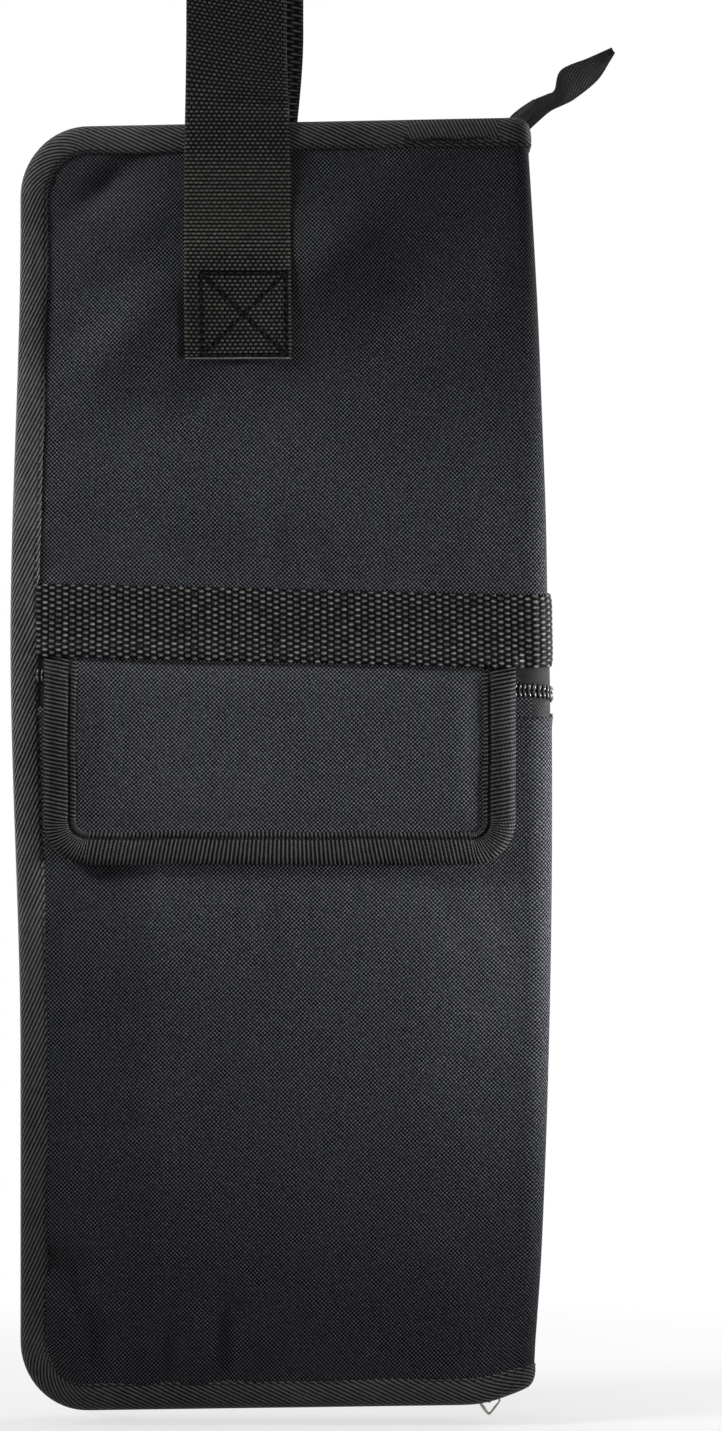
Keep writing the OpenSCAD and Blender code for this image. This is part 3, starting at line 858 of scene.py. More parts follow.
# %% Edge path
EDGE_RUN = MID_U - CORNER_R
EDGE_ARC = CORNER_R * math.pi / 2
EDGE_RISE = TOP_Z - LOW_Z - 2 * CORNER_R
EDGE_L = 2 * EDGE_RUN + 2 * EDGE_ARC + EDGE_RISE


def edge_path(s, inset):
    """Flat place at a distance s along the edge from the top of the spine, drawn in by inset."""
    top_turn = np.clip((s - EDGE_RUN) / CORNER_R, 0, math.pi / 2)
    low_turn = np.clip((s - EDGE_RUN - EDGE_ARC - EDGE_RISE) / CORNER_R, 0, math.pi / 2)
    into_u, into_z = np.sin(top_turn + low_turn), -np.cos(top_turn + low_turn)
    middle_u = CORNER_R + np.maximum(EDGE_RUN - s, 0) + np.maximum(s - EDGE_L + EDGE_RUN, 0)
    middle_z = TOP_Z - CORNER_R - np.clip(s - EDGE_RUN - EDGE_ARC, 0, EDGE_RISE)
    reach = inset - CORNER_R
    return middle_u + reach * into_u, middle_z + reach * into_z


print("sewn edge of a half:", round(EDGE_L / MM), "mm")

# %% Binding and its seams
BINDING_FOLD = [
    (10.0, 0.15),
    (9.7, 0.7),
    (7.4, 1.15),
    (4.6, 1.1),
    (2.0, 0.45),
    (0.6, -0.8),
    (0.1, -2.4),
    (0.5, -4.0),
    (1.8, -5.1),
    (4.4, -5.6),
    (9.7, -5.6),
    (10.0, -5.3),
]
BINDING_FACES = (26, 330)
BINDING_T = 0.7 * MM
SEAM_INSET = 8.9 * MM
fold_d, fold_out = np.array(BINDING_FOLD).T * MM
fold_run = running_length(np.array(BINDING_FOLD) * MM)


def binding(side):
    def place(a, b):
        s = b * EDGE_L
        inset = np.interp(a * fold_run[-1], fold_run, fold_d)
        out = np.interp(a * fold_run[-1], fold_run, fold_out)
        ruck = np.sin(s / (9 * MM)) * np.sin(s / (31 * MM) + side)
        inset = inset + 0.25 * MM * ruck * inset / BINDING_W
        out = out + 0.12 * MM * ruck * (out > 0)
        u, z = edge_path(s, inset)
        return wrap(side, u, z, out)

    return lay("binding", *BINDING_FACES, (fold_run[-1], EDGE_L), place)


for side, half in HALF.items():
    word = WORD[side]
    tape = binding(side)
    tape.name = f"{word}_edge_tape"
    thicken(tape, BINDING_T)
    dress(tape, edge_tape, with_spine(side, f"{half}_binding", "spine_binding"))
    bend_at_spine(tape)

    s = np.arange(0, EDGE_L, STITCH_L)
    u, z = edge_path(s, SEAM_INSET)
    rows = [on_bag(side, u, z, 1.2 * MM)]
    inner, outward = on_bag(side, u, z, -5.9 * MM)
    rows.append((inner, -outward))
    seam = stitches(f"{word}_binding_seam", rows)
    dress(seam, thread)
    bend_at_spine(seam)

# %% [markdown]
# The belt
#
# A belt of coarse webbing is sewn across the bag, over the pocket zip. Its knots are as big as rice grains
# and catch the light, so they are modelled: columns 2.4 mm apart, every other one set half a knot lower.
# The strip is rolled into a flat tube, with many faces on the side that shows and few behind. On the front
# the flap is sewn in under the lower edge, so the belt is lifted there.

# %% Belt webbing
BELT_COLUMN, BELT_ROW, KNOT_H = 2.4 * MM, 2.1 * MM, 0.55 * MM
BELT_FACES = (520, 72)
BELT_FRONT_SHARE = 0.88
UNDER_BINDING = BINDING_W - 1.4 * MM
FRONT_TILT = (2.3, -2.1, -1.0)
BACK_TILT = (0.0, 0.0, -1.0)
ZIP_TILT = (6.5, 0.8, -1.0)
FLAP_SPAN = [corner.x - EDGE_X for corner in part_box("flap_binding")]
SEAM_LIFT = 1.9 * MM


def tilt(side, u):
    """The belt and the pocket aren't sewn quite level: this is how far they rise or fall."""
    heights = FRONT_TILT if side == FRONT else BACK_TILT
    return np.interp(u, [0, FLAT_U, MID_U], heights) * MM


def zip_tilt(side, u):
    """On the front the pocket zip is sewn a little closer to the belt than on the back."""
    return np.interp(u, [0, FLAT_U, MID_U], ZIP_TILT) * MM if side == FRONT else tilt(side, u)


def belt_lift(side, u, low):
    """How far the flap's seam lifts the belt, at a height low over the belt's lower edge."""
    if side == BACK:
        return 0
    inside = np.minimum(u - FLAP_SPAN[0], FLAP_SPAN[1] - u)
    return SEAM_LIFT * ease((inside + 3 * MM) / (5 * MM)) * ease((8 * MM - low) / (6 * MM))


def knot_place(s, t):
    """Where a point lies on its knot, from -1 to 1 along and across the belt."""
    place = s / BELT_COLUMN
    number = np.floor(place)
    across = t / BELT_ROW + 0.5 * (number % 2)
    return 2 * (place - number) - 1, 2 * (across - np.floor(across)) - 1


def belt(side):
    width = BELT_TOP - BELT_LOW
    length = MID_U - UNDER_BINDING
    share = [0, BELT_FRONT_SHARE, BELT_FRONT_SHARE + 0.03, 0.97, 1]
    across = np.array([-0.5, 0.5, 0.5, -0.5, -0.5]) * width
    high = np.array([BELT_T, BELT_T, 0, 0, BELT_T]) * 0.75

    def place(a, b):
        s, t = a * length, np.interp(b, share, across)
        ds, dt = knot_place(s, t)
        seen = b < BELT_FRONT_SHARE
        knot = np.sqrt(np.maximum(1 - abs(ds) ** 2.6 - 1.05 * dt**2, 0)) * seen
        # bright is a painted highlight: pale in the middle of each knot, falling to black at its rim and in
        # the gaps as painted shade.
        bright = np.maximum(1 - abs(ds) ** 3, 0) * np.maximum(1 - 1.1 * abs(dt), 0) * seen
        flat = 1 - (abs(t) / (width / 2)) ** 8 * 0.5
        u = UNDER_BINDING + s
        z = BELT_Z + t + tilt(side, u)
        lift = relief(side, u, BELT_Z + t) + belt_lift(side, u, t + width / 2)
        out = lift + np.interp(b, share, high) * flat + knot * KNOT_H
        return *wrap(side, u, z, out), bright

    return lay("belt", *BELT_FACES, (length, width), place)


for side, word in WORD.items():
    strip = belt(side)
    strip.name = f"{word}_belt_webbing"
    close_tube(strip)
    dress(strip, belt_yarn, with_spine(side, f"{word}_belt", "spine_belt"))
    bend_at_spine(strip)

# %% [markdown]
# The outer pocket
#
# Under the belt a second layer of the outer cloth makes a wide pocket. It is sewn in at the binding and
# swells a little over what it holds. Its upper edge is turned under and stitched to the lower zip tape.

# %% Pocket panels
POCKET_FACES = (96, 120)
POCKET_T = 0.8 * MM
POCKET_TUCK = BINDING_W - 1.6 * MM
POCKET_SWELL = {FRONT: 4.2 * MM, BACK: 0.4 * MM}
POCKET_LIFT, POCKET_FOLLOWS = 0.55 * MM, 0.8
LEFT_RUN, RIGHT_RUN, TOP_RUN, FOOT_RUN = 42 * MM, 48 * MM, 95 * MM, 50 * MM
SPINE_FLAT = 14 * MM
HEM_H, HEM_RUN = 0.5 * MM, 2.2 * MM
ZIP_OUT = {FRONT: 0.0, BACK: BACK_ZIP_OUT}


def zip_stand(side, u):
    """The back pocket's zip stands off the cloth, but not at the binding and at the spine's middle."""
    return ZIP_OUT[side] * ease((u - BINDING_W) / (14 * MM)) * ease((MID_U - u) / (20 * MM))


def pocket_out(side, u, z):
    """Height of the pocket's cloth over the flat face."""
    down = POCKET_TOP - z
    up = z - LOW_Z - BINDING_W
    sides = ease((u - BINDING_W) / LEFT_RUN) * ease((MID_U - SPINE_FLAT - u) / RIGHT_RUN)
    swell = POCKET_SWELL[side] * ease(down / TOP_RUN) * ease(up / FOOT_RUN) * sides
    stand = zip_stand(side, u) * ease(up / (40 * MM))
    hem = HEM_H * np.exp(-((down / HEM_RUN) ** 2))
    return POCKET_LIFT + POCKET_FOLLOWS * relief(side, u, z) + swell + stand + hem


for side, word in WORD.items():
    low = LOW_Z + POCKET_TUCK
    size = (MID_U - POCKET_TUCK, POCKET_TOP - low)

    def place(a, b):
        u, z = round_corners(a * size[0], low + b * size[1], low, low + 1, CORNER_R - POCKET_TUCK)
        u = u + POCKET_TUCK
        return wrap(side, u, z + tilt(side, u) * ease((z - low) / size[1]) ** 4, pocket_out(side, u, z))

    panel = lay(f"{word}_pocket_cloth", *POCKET_FACES, size, place)
    thicken(panel, POCKET_T)
    dress(panel, outer_cloth, with_spine(side, f"{word}_pocket_panel", "spine_pocket_panel"))
    bend_at_spine(panel)

    u = np.arange(BINDING_W, MID_U, STITCH_L)
    z = POCKET_TOP - 3.2 * MM
    points, outward = on_bag(side, u, z + tilt(side, u), pocket_out(side, u, z) + POCKET_T / 2)
    seam = stitches(f"{word}_pocket_seam", [(points, outward)])
    dress(seam, thread)
    bend_at_spine(seam)

# %% [markdown]
# The pocket zip
#
# Two tapes carry two nylon coils. Every turn of a coil is a short bent rod, so from the front a closed zip
# shows two rows of slanting rods that meet in a zigzag. Each rod is a copy of one bead, laid across the tape.

# %% Tapes and coils of the pocket zip
COIL_PITCH = 1.65 * MM
COIL_SLANT = math.radians(16)
ROW_MIDDLE, ROW_HALF = 1.15 * MM, 1.45 * MM
ROD_OUT, ROD_WIDE, ROD_HIGH = 0.95 * MM, 0.62 * MM, 0.72 * MM
TAPE_T = 0.4 * MM
ROW_EDGE = 1.5 * MM


def coil_row(side, row):
    """Rods of one row of the pocket zip: row is 1 for the upper one and -1 for the lower one."""
    u = np.arange(BINDING_W - 0.5 * MM, MID_U, COIL_PITCH)
    z = POCKET_ZIP_Z + row * ROW_MIDDLE + zip_tilt(side, u)
    points, outward = on_bag(side, u, z, zip_stand(side, u) + ROD_OUT)
    up = np.tile([0.0, 0.0, 1.0], (len(u), 1))
    along = np.cross(up, outward) * -side
    rod = up * math.cos(COIL_SLANT) + along * row * math.sin(COIL_SLANT)
    axes = np.stack([rod * ROW_HALF, np.cross(outward, rod) * ROD_WIDE, outward * ROD_HIGH], 1)
    return points, axes


for side, word in WORD.items():
    tapes = []
    for row in (1, -1):
        near = POCKET_ZIP_Z + row * ROW_EDGE
        far = BELT_LOW + 2 * MM if row > 0 else POCKET_TOP - 5 * MM
        size = (MID_U - UNDER_BINDING, abs(far - near))

        def place(a, b):
            u = UNDER_BINDING + a * size[0]
            z = (near + zip_tilt(side, u)) * (1 - b) + (far + tilt(side, u)) * b
            rise = ease(1 - b) if row > 0 else 1
            return wrap(side, u, z, 0.3 * MM + zip_stand(side, u) * rise)

        tapes.append(lay("zip_strip", 90, 4, size, place))
    strip = join(f"{word}_pocket_tape", tapes)
    thicken(strip, TAPE_T)
    dress(strip, zip_weave, with_spine(side, f"{word}_pocket_zip_tape", "spine_pocket_zip_tape"))
    bend_at_spine(strip)

    rows = [coil_row(side, row) for row in (1, -1)]
    coil = copies(f"{word}_pocket_coil", TOOTH, *[np.concatenate(part) for part in zip(*rows)])
    dress(coil, nylon, with_spine(side, f"{word}_pocket_zip_teeth", "spine_pocket_zip_teeth"))
    bend_at_spine(coil)

# %% [markdown]
# The main zip
#
# The zip that closes the bag lies between the two bindings, 6 mm in from the edge. Its tapes stand off the
# linings like a low wall and carry a coil each, which belong to different halves and part when the bag opens.

# %% Main zip
MAIN_INSET = 6 * MM
MAIN_END_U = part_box("cover_zip_tape")[1].x - EDGE_X
ROW_IN, ROW_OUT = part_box("back_zip_teeth")[0].y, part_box("back_zip_teeth")[1].y
MAIN_S0 = MID_U - MAIN_END_U
MAIN_L = EDGE_L - 2 * MAIN_S0
MAIN_ROD_HALF = ROW_OUT / 2 + 0.25 * MM
MAIN_ROD_WIDE, MAIN_ROD_HIGH = 0.6 * MM, 1.05 * MM
STOP_L = 2.5 * MM


def main_place(side, s, depth, inset=MAIN_INSET):
    u, z = edge_path(s, inset)
    return wrap(side, u, z, depth - FACE_Y, level=True)


for side, half in HALF.items():
    word = WORD[side]
    lip = FACE_Y - PANEL_T

    def place(a, b):
        return main_place(side, MAIN_S0 + b * MAIN_L, lip + a * (ROW_OUT - 0.6 * MM - lip))

    wall = lay(f"{word}_zip_wall", 6, 320, (lip - ROW_OUT, MAIN_L), place)
    thicken(wall, 0.55 * MM)
    dress(wall, zip_weave, [f"{half}_zip_tape"])
    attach(wall, half)

    s = np.arange(MAIN_S0 + STOP_L + (side > 0) * COIL_PITCH / 2, MAIN_S0 + MAIN_L - STOP_L, COIL_PITCH)
    middle = ROW_OUT / 2
    points = as_points(main_place(side, s, middle))
    deep = unit(as_points(main_place(side, s, middle - 1 * MM)) - points)
    into = unit(as_points(main_place(side, s, middle, MAIN_INSET + 1 * MM)) - points)
    beside = np.cross(deep, into)
    rod = deep * math.cos(COIL_SLANT) + beside * math.sin(COIL_SLANT)
    across = np.cross(into, rod) * MAIN_ROD_WIDE
    axes = np.stack([rod * MAIN_ROD_HALF, across, into * MAIN_ROD_HIGH], 1)
    chain = copies(f"{word}_zip_coil", TOOTH, points, axes)
    dress(chain, nylon, [f"{half}_zip_teeth"])
    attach(chain, half)

# %% [markdown]
# Zip stops
#
# A small metal clamp closes each end of a zip, so that the slider can't run off. Four of them are plain
# blocks with rounded edges: a cube is added at its place, sized, and bevelled.

# %% Stops
def bevelled_block(name, low, high, bevel):
    """A block between two corners, with rounded edges."""
    deselect()
    bpy.ops.mesh.primitive_cube_add(size=1)
    block = bpy.context.object
    block.name = block.data.name = name
    low, high = np.array(low), np.array(high)
    write_points(block, (low + high) / 2 + read_points(block) * (high - low))
    edit(block, (bpy.ops.mesh.bevel, {"offset": bevel, "segments": 2, "affect": "EDGES"}))
    return block


for side, half in HALF.items():
    blocks = []
    for s in (MAIN_S0 + STOP_L / 2, MAIN_S0 + MAIN_L - STOP_L / 2):
        middle = np.array(main_place(side, np.array(s), (ROW_IN + ROW_OUT) / 2), float)
        reach = np.array([STOP_L / 2, (ROW_OUT - ROW_IN) / 2, 1.2 * MM])
        blocks.append(bevelled_block("stop", middle - reach, middle + reach, 0.4 * MM))
    clamp = join(f"{half}_stops", blocks)
    dress(clamp, wire, [f"{half}_zip_stops"], angle=40)
    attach(clamp, half)

# %% [markdown]
# The handle
#
# One strap of 38 mm webbing is sewn to the front and to the back and stands up in a loop. It is drawn as two
# halves that meet over the hang point. The middle line of a half is a few points, the bend at the top
# is an arc, and the strap is a flat tube along it with its cross ribs and yarns modelled.

# %% Middle line of a half strap
STRAP_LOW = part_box("handle_front_half")[0]
STRAP_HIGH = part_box("handle_front_half")[1]
STRAP_W = STRAP_HIGH.x - STRAP_LOW.x
STRAP_T = 1.5 * MM
SEWN_H = 28 * MM
BEND_R = 8 * MM + STRAP_T / 2
LEG_Y = FACE_Y + 1.9 * MM
arc = np.linspace(0, math.pi / 2, 12)
strap_line = [(FACE_Y + 0.9 * MM, STRAP_LOW.z), (FACE_Y + 1.2 * MM, STRAP_LOW.z + SEWN_H)]
strap_line += [(LEG_Y + 0.6 * MM, TOP_Z - BINDING_W), (LEG_Y + 0.4 * MM, TOP_Z)]
strap_line += [(LEG_Y - 1.5 * MM, TOP_Z + 12 * MM), (LEG_Y - 4.2 * MM, TOP_Z + 45 * MM)]
strap_line += [(BEND_R * math.cos(t), STRAP_T - 9 * MM + BEND_R * math.sin(t)) for t in arc]
strap_line = np.array(strap_line)
strap_run = running_length(strap_line)
STRAP_L = strap_run[-1]


def strap_middle(s):
    """Depth and height of the strap's middle line, with its corners eased by averaging nearby points."""
    near = [np.clip(s + shift * 4 * MM, 0, STRAP_L) for shift in (-1, -0.5, 0, 0.5, 1)]
    depth = sum(np.interp(n, strap_run, strap_line[:, 0]) for n in near) / len(near)
    height = sum(np.interp(n, strap_run, strap_line[:, 1]) for n in near) / len(near)
    keep = np.clip((STRAP_L - s) / (5 * MM), 0, 1)
    depth = depth * keep + np.interp(s, strap_run, strap_line[:, 0]) * (1 - keep)
    height = height * keep + np.interp(s, strap_run, strap_line[:, 1]) * (1 - keep)
    return depth, height


print("strap from its sewn end to the top of the loop:", round(STRAP_L / MM), "mm")

# %% Handle webbing and its sewn box
RIB_PITCH, RIB_H = 1.4 * MM, 0.35 * MM
GAP_PITCH = 1.85 * MM
SMOOTH_FROM, SMOOTH_TO = 34 * MM, 78 * MM
STRAP_FACES = (130, 560)
STRAP_FRONT = 0.78
BOX_LEFT, BOX_RIGHT = -13.0 * MM, 17.4 * MM
BOX_LOW, BOX_TOP = 2.2 * MM, SEWN_H + 3.5 * MM
SIDE_SHIFT = {FRONT: -0.6 * MM, BACK: 4.4 * MM}
STRAP_NARROW = {FRONT: 0.06, BACK: 0.02}
KINK, KINK_RISE = 1.3 * MM, 6 * MM
ROW_SKEW = 0.18
BOX_DENT, DENT_HALF = 0.45 * MM, 0.55 * MM
BOX_LINES = [
    ((BOX_LEFT, BOX_LOW), (BOX_RIGHT, BOX_LOW)),
    ((BOX_RIGHT, BOX_LOW), (BOX_RIGHT, BOX_TOP)),
    ((BOX_RIGHT, BOX_TOP), (BOX_LEFT, BOX_TOP)),
    ((BOX_LEFT, BOX_TOP), (BOX_LEFT, BOX_LOW)),
    ((BOX_LEFT, BOX_LOW), (BOX_RIGHT, BOX_TOP)),
    ((BOX_LEFT, BOX_TOP), (BOX_RIGHT, BOX_LOW)),
]


def line_distance(x, s, line):
    (x0, s0), (x1, s1) = line
    run = np.array([x1 - x0, s1 - s0])
    along = np.clip(((x - x0) * run[0] + (s - s0) * run[1]) / (run @ run), 0, 1)
    return np.hypot(x - x0 - along * run[0], s - s0 - along * run[1])


def strap_place(side, x, s, out):
    """A point of the half strap: x across it, s along it, out over its middle line."""
    depth, height = strap_middle(s)
    depth_on, height_on = strap_middle(np.minimum(s + 0.5 * MM, STRAP_L))
    depth_off, height_off = strap_middle(np.maximum(s - 0.5 * MM, 0))
    run = np.hypot(depth_on - depth_off, height_on - height_off)
    out_y, out_z = (height_on - height_off) / run, (depth_off - depth_on) / run
    free = ease((height - TOP_Z + 25 * MM) / (60 * MM)) * ease((STRAP_L - s) / (60 * MM))
    over = height - TOP_Z - KINK_RISE + 0.05 * x
    kink = KINK * np.exp(-((over / (2.6 * MM)) ** 2)) * ease((x + 12 * MM) / (16 * MM))
    sewn = 1 - ease((s - SEWN_H) / (30 * MM))
    lift = relief(side, x - EDGE_X, np.minimum(height, TOP_Z)) * sewn
    across = x * (1 - STRAP_NARROW[side] * free) + SIDE_SHIFT[side] * free
    return across, side * (depth + lift - kink + out * out_y), height + out * out_z


def box_dent(x, s):
    """1 along the lines of the box stitch, where the thread draws the strap in."""
    dents = [np.exp(-((line_distance(x, s, line) / DENT_HALF) ** 2)) for line in BOX_LINES]
    return np.minimum(sum(dents), 1)


def strap_yarns(x, s):
    """How far the yarns stand up, from 0 to 1: cross ribs with staggered gaps in them."""
    turned = ease((s - TOP_Z + STRAP_LOW.z) / (25 * MM)) * ease((STRAP_L - s) / (40 * MM))
    s = s + ROW_SKEW * x * turned
    row = np.floor(s / RIB_PITCH)
    rib = abs(np.sin(math.pi * s / RIB_PITCH))
    gap = np.maximum(np.cos(2 * math.pi * (x / GAP_PITCH + 0.5 * (row % 2))), 0) ** 1.5
    smooth = ease((s - SMOOTH_FROM) / (10 * MM)) * ease((SMOOTH_TO - s) / (10 * MM))
    selvedge = ease((abs(x) - STRAP_W / 2 + 1.4 * MM) / (0.8 * MM))
    return rib * (1 - gap * (0.95 - 0.5 * smooth) * (1 - selvedge))


def half_strap(side):
    share = [0, STRAP_FRONT - 0.02, STRAP_FRONT, 0.98, 1]
    across = np.array([-0.5, 0.5, 0.5, -0.5, -0.5]) * STRAP_W
    high = np.array([0.5, 0.5, -0.5, -0.5, 0.5]) * STRAP_T * 0.75

    def place(a, b):
        s, x = b * STRAP_L, np.interp(a, share, across)
        thick = np.interp(a, share, high)
        dent = box_dent(x, s)
        # The box stitch lines lower the yarns, and through the same value the colour gets painted shade along
        # them.
        yarn_rise_and_highlight = np.where(s < 0.8 * MM, 1.0, strap_yarns(x, s) * (1 - 0.7 * dent))
        flat = abs(thick) > STRAP_T * 0.37
        out = thick + np.sign(thick) * flat * (RIB_H * yarn_rise_and_highlight - BOX_DENT * dent)
        return *strap_place(side, x, s, out), yarn_rise_and_highlight

    return lay("strap", *STRAP_FACES, (STRAP_W * 2, STRAP_L), place)


for side, half in HALF.items():
    word = "front" if side == FRONT else "rear"
    strap = half_strap(side)
    strap.name = f"{word}_strap"
    close_tube(strap)
    dress(strap, strap_yarn, [f"handle_{word}_half"])
    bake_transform(strap)

    rows = []
    for (x0, s0), (x1, s1) in BOX_LINES:
        count = max(2, round(math.hypot(x1 - x0, s1 - s0) / STITCH_L)) + 1
        x, s = np.linspace(x0, x1, count), np.linspace(s0, s1, count)
        here = as_points(strap_place(side, x, s, 0.6 * MM))
        above = as_points(strap_place(side, x, s, 0.8 * MM))
        rows.append((here, unit(above - here)))
    seam = stitches(f"{word}_strap_seam", rows, width=0.7 * MM, height=0.5 * MM)
    dress(seam, thread)
    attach(seam, half)

# %% [markdown]
# The flap
#
# A small padded flap hangs from under the belt and covers the pocket zip. It has a face of outer cloth, a
# thin pad, a lining, and a ribbed tape folded round three sides. The tape's inner lip is stitched down,
# which leaves a sunken channel beside it. The root is pressed thin under the belt, and the rest of the flap
# leans out over the pocket.

# %% Flap shape
FLAP_LOW, FLAP_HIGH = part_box("flap_binding")
FLAP_HINGE = Vector(next(j["pos_m"] for j in frame["joints"] if j["name"] == "flap_lift"))
FLAP_X = (FLAP_LOW.x + FLAP_HIGH.x) / 2
FLAP_W = FLAP_HIGH.x - FLAP_LOW.x
FLAP_H = FLAP_HINGE.z - FLAP_LOW.z
FLAP_R = 16 * MM
FLAP_ROOT = 5 * MM
FLAP_TAPE_W = 11.2 * MM
FLAP_LEAN, FLAP_BOW, FLAP_CURL = 3.8 * MM, 0.9 * MM, 1.0 * MM
ROOT_THIN, ROOT_TUCK = 0.3, 1.1 * MM
FLAP_INSET = 1.2 * MM
FLAP_SEAM_INSET, FLAP_SEAM_OUT, FLAP_STITCH_L = 9.3 * MM, 2.65 * MM, 2.4 * MM


def flap_place(x, drop, out):
    """A point of the flap: x from its middle, drop under the hinge, out over its inner face."""
    share = np.clip(drop / FLAP_H, 0, 1)
    lean = FLAP_LEAN * share**1.2 + FLAP_BOW * np.sin(math.pi * share)
    curl = FLAP_CURL * (abs(x) / (FLAP_W / 2)) ** 4 * share
    below = BELT_LOW + tilt(FRONT, FLAP_X + x - EDGE_X) - FLAP_HINGE.z + drop
    full = ease((below + 1 * MM) / (8 * MM))
    depth = -FLAP_HINGE.y + lean - curl + out * (ROOT_THIN + (1 - ROOT_THIN) * full) - ROOT_TUCK * (1 - full)
    return FLAP_X + x, -depth, FLAP_HINGE.z - drop


def flap_round(x, drop, width, height, radius):
    """Moves the two lower corners of a flat cut onto a round."""
    p = np.clip((abs(x) - width / 2 + radius) / radius, 0, 1)
    q = np.clip((drop - height + radius) / radius, 0, 1)
    reach_x = width / 2 - radius + radius * p * np.sqrt(1 - q * q / 2)
    reach_d = height - radius + radius * q * np.sqrt(1 - p * p / 2)
    return np.where(p > 0, np.sign(x) * reach_x, x), np.where(q > 0, reach_d, drop)


def flap_layer(name, inset, out, faces, puff):
    width, height, radius = FLAP_W - 2 * inset, FLAP_H - inset, FLAP_R - inset

    def place(a, b):
        drop = (1 - b) * (height + FLAP_ROOT) - FLAP_ROOT
        x, drop = flap_round((a - 0.5) * width, drop, width, height, radius)
        rim = np.minimum(width / 2 - abs(x), height - drop)
        swell = puff * ease((rim - FLAP_TAPE_W) / (9 * MM)) * ease((drop - 1 * MM) / (10 * MM))
        return flap_place(x, drop, out + swell)

    return lay(name, *faces, (width, height + FLAP_ROOT), place)


def hang_flap(piece):
    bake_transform(piece)


face = flap_layer("flap_cloth", FLAP_INSET, 2.1 * MM, (88, 44), 1.1 * MM)
thicken(face, 0.8 * MM)
dress(face, outer_cloth, ["flap_panel"])
hang_flap(face)

pad = flap_layer("flap_foam", 2.0 * MM, 1.1 * MM, (60, 30), 0.5 * MM)
thicken(pad, 0.9 * MM)
dress(pad, foam, ["flap_padding"])
hang_flap(pad)

back_face = flap_layer("flap_back_cloth", FLAP_INSET, 0.35 * MM, (60, 30), 0.0)
thicken(back_face, 0.4 * MM)
dress(back_face, lining_cloth, ["flap_lining"])
hang_flap(back_face)

# %% Flap binding
FLAP_RUN = FLAP_H - FLAP_R + FLAP_ROOT
FLAP_ARC = FLAP_R * math.pi / 2
FLAP_BASE = FLAP_W - 2 * FLAP_R
FLAP_EDGE_L = 2 * FLAP_RUN + 2 * FLAP_ARC + FLAP_BASE
FLAP_FOLD = [
    (11.5, 2.3),
    (11.2, 2.75),
    (10.4, 2.95),
    (9.7, 2.4),
    (8.9, 2.3),
    (8.1, 3.2),
    (5.0, 3.6),
    (2.2, 3.3),
    (0.5, 2.2),
    (0.2, 1.2),
    (0.6, 0.25),
    (2.2, -0.15),
    (10.8, -0.15),
]
flap_fold_d, flap_fold_out = np.array(FLAP_FOLD).T * MM
flap_fold_run = running_length(np.array(FLAP_FOLD) * MM)


def flap_edge(s, inset):
    """Flat place along the flap's three bound sides, from the left root to the right one."""
    first = np.clip((s - FLAP_RUN) / FLAP_R, 0, math.pi / 2)
    second = np.clip((s - FLAP_RUN - FLAP_ARC - FLAP_BASE) / FLAP_R, 0, math.pi / 2)
    turn = first + second
    middle_x = FLAP_R - FLAP_W / 2 + np.clip(s - FLAP_RUN - FLAP_ARC, 0, FLAP_BASE)
    rise = np.maximum(FLAP_RUN - s, 0) + np.maximum(s - FLAP_EDGE_L + FLAP_RUN, 0)
    reach = FLAP_R - inset
    return middle_x - reach * np.cos(turn), FLAP_H - FLAP_R - rise + reach * np.sin(turn)


def flap_tape_place(a, b):
    s = b * FLAP_EDGE_L
    run = a * flap_fold_run[-1]
    inset = np.interp(run, flap_fold_run, flap_fold_d)
    out = np.interp(run, flap_fold_run, flap_fold_out)
    ruck = np.sin(s / (7 * MM)) * np.sin(s / (23 * MM))
    x, drop = flap_edge(s, inset + 0.15 * MM * ruck)
    return flap_place(x, drop, out + 0.1 * MM * ruck * (out > 1 * MM))


tape = lay("flap_edge_tape", 34, 240, (flap_fold_run[-1], FLAP_EDGE_L), flap_tape_place)
thicken(tape, 0.5 * MM)
dress(tape, flap_tape, ["flap_binding"])
hang_flap(tape)

s = np.arange(0, FLAP_EDGE_L, FLAP_STITCH_L)
x, drop = flap_edge(s, FLAP_SEAM_INSET)
here = as_points(flap_place(x, drop, FLAP_SEAM_OUT))
outward = np.tile([0.0, -1.0, 0.0], (len(here), 1))
seam = stitches("flap_seam", [(here, outward)], width=0.6 * MM)
dress(seam, thread)
hang_flap(seam)

# %% [markdown]
# Stick sleeves
#
# Inside the back half, one wide sheet is sewn down in five lines and so makes four sleeves. Each one bows
# out to take a pair of sticks, and a tape finishes their mouth. The bow is half a wave, and it fades at
# the bottom, where the sheet is sewn flat.

# %% Sleeves
SLEEVE_LOW, SLEEVE_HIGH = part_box("stick_sleeves")
SLEEVE_COUNT = 4
SLEEVE_DEEP = SLEEVE_HIGH.y - SLEEVE_LOW.y - 1.2 * MM
SLEEVE_W, SLEEVE_H = SLEEVE_HIGH.x - SLEEVE_LOW.x, SLEEVE_HIGH.z - SLEEVE_LOW.z
SLEEVE_FOOT, SLEEVE_SAG = 30 * MM, 1.5 * MM
MOUTH_TAPE_W = 12 * MM


def sleeve_place(a, height, out):
    wave = abs(np.sin(math.pi * SLEEVE_COUNT * a)) ** 0.7
    full = ease((height + 1 * MM) / SLEEVE_FOOT) * (0.9 + 0.1 * height / SLEEVE_H)
    sag = SLEEVE_SAG * np.sin(math.pi * a * SLEEVE_COUNT) ** 2 * (height / SLEEVE_H) ** 6
    depth = SLEEVE_HIGH.y - 0.6 * MM - SLEEVE_DEEP * wave * full - out
    x, z = bow(SLEEVE_LOW.x + a * SLEEVE_W, SLEEVE_LOW.z + height - sag)
    return x, depth, z


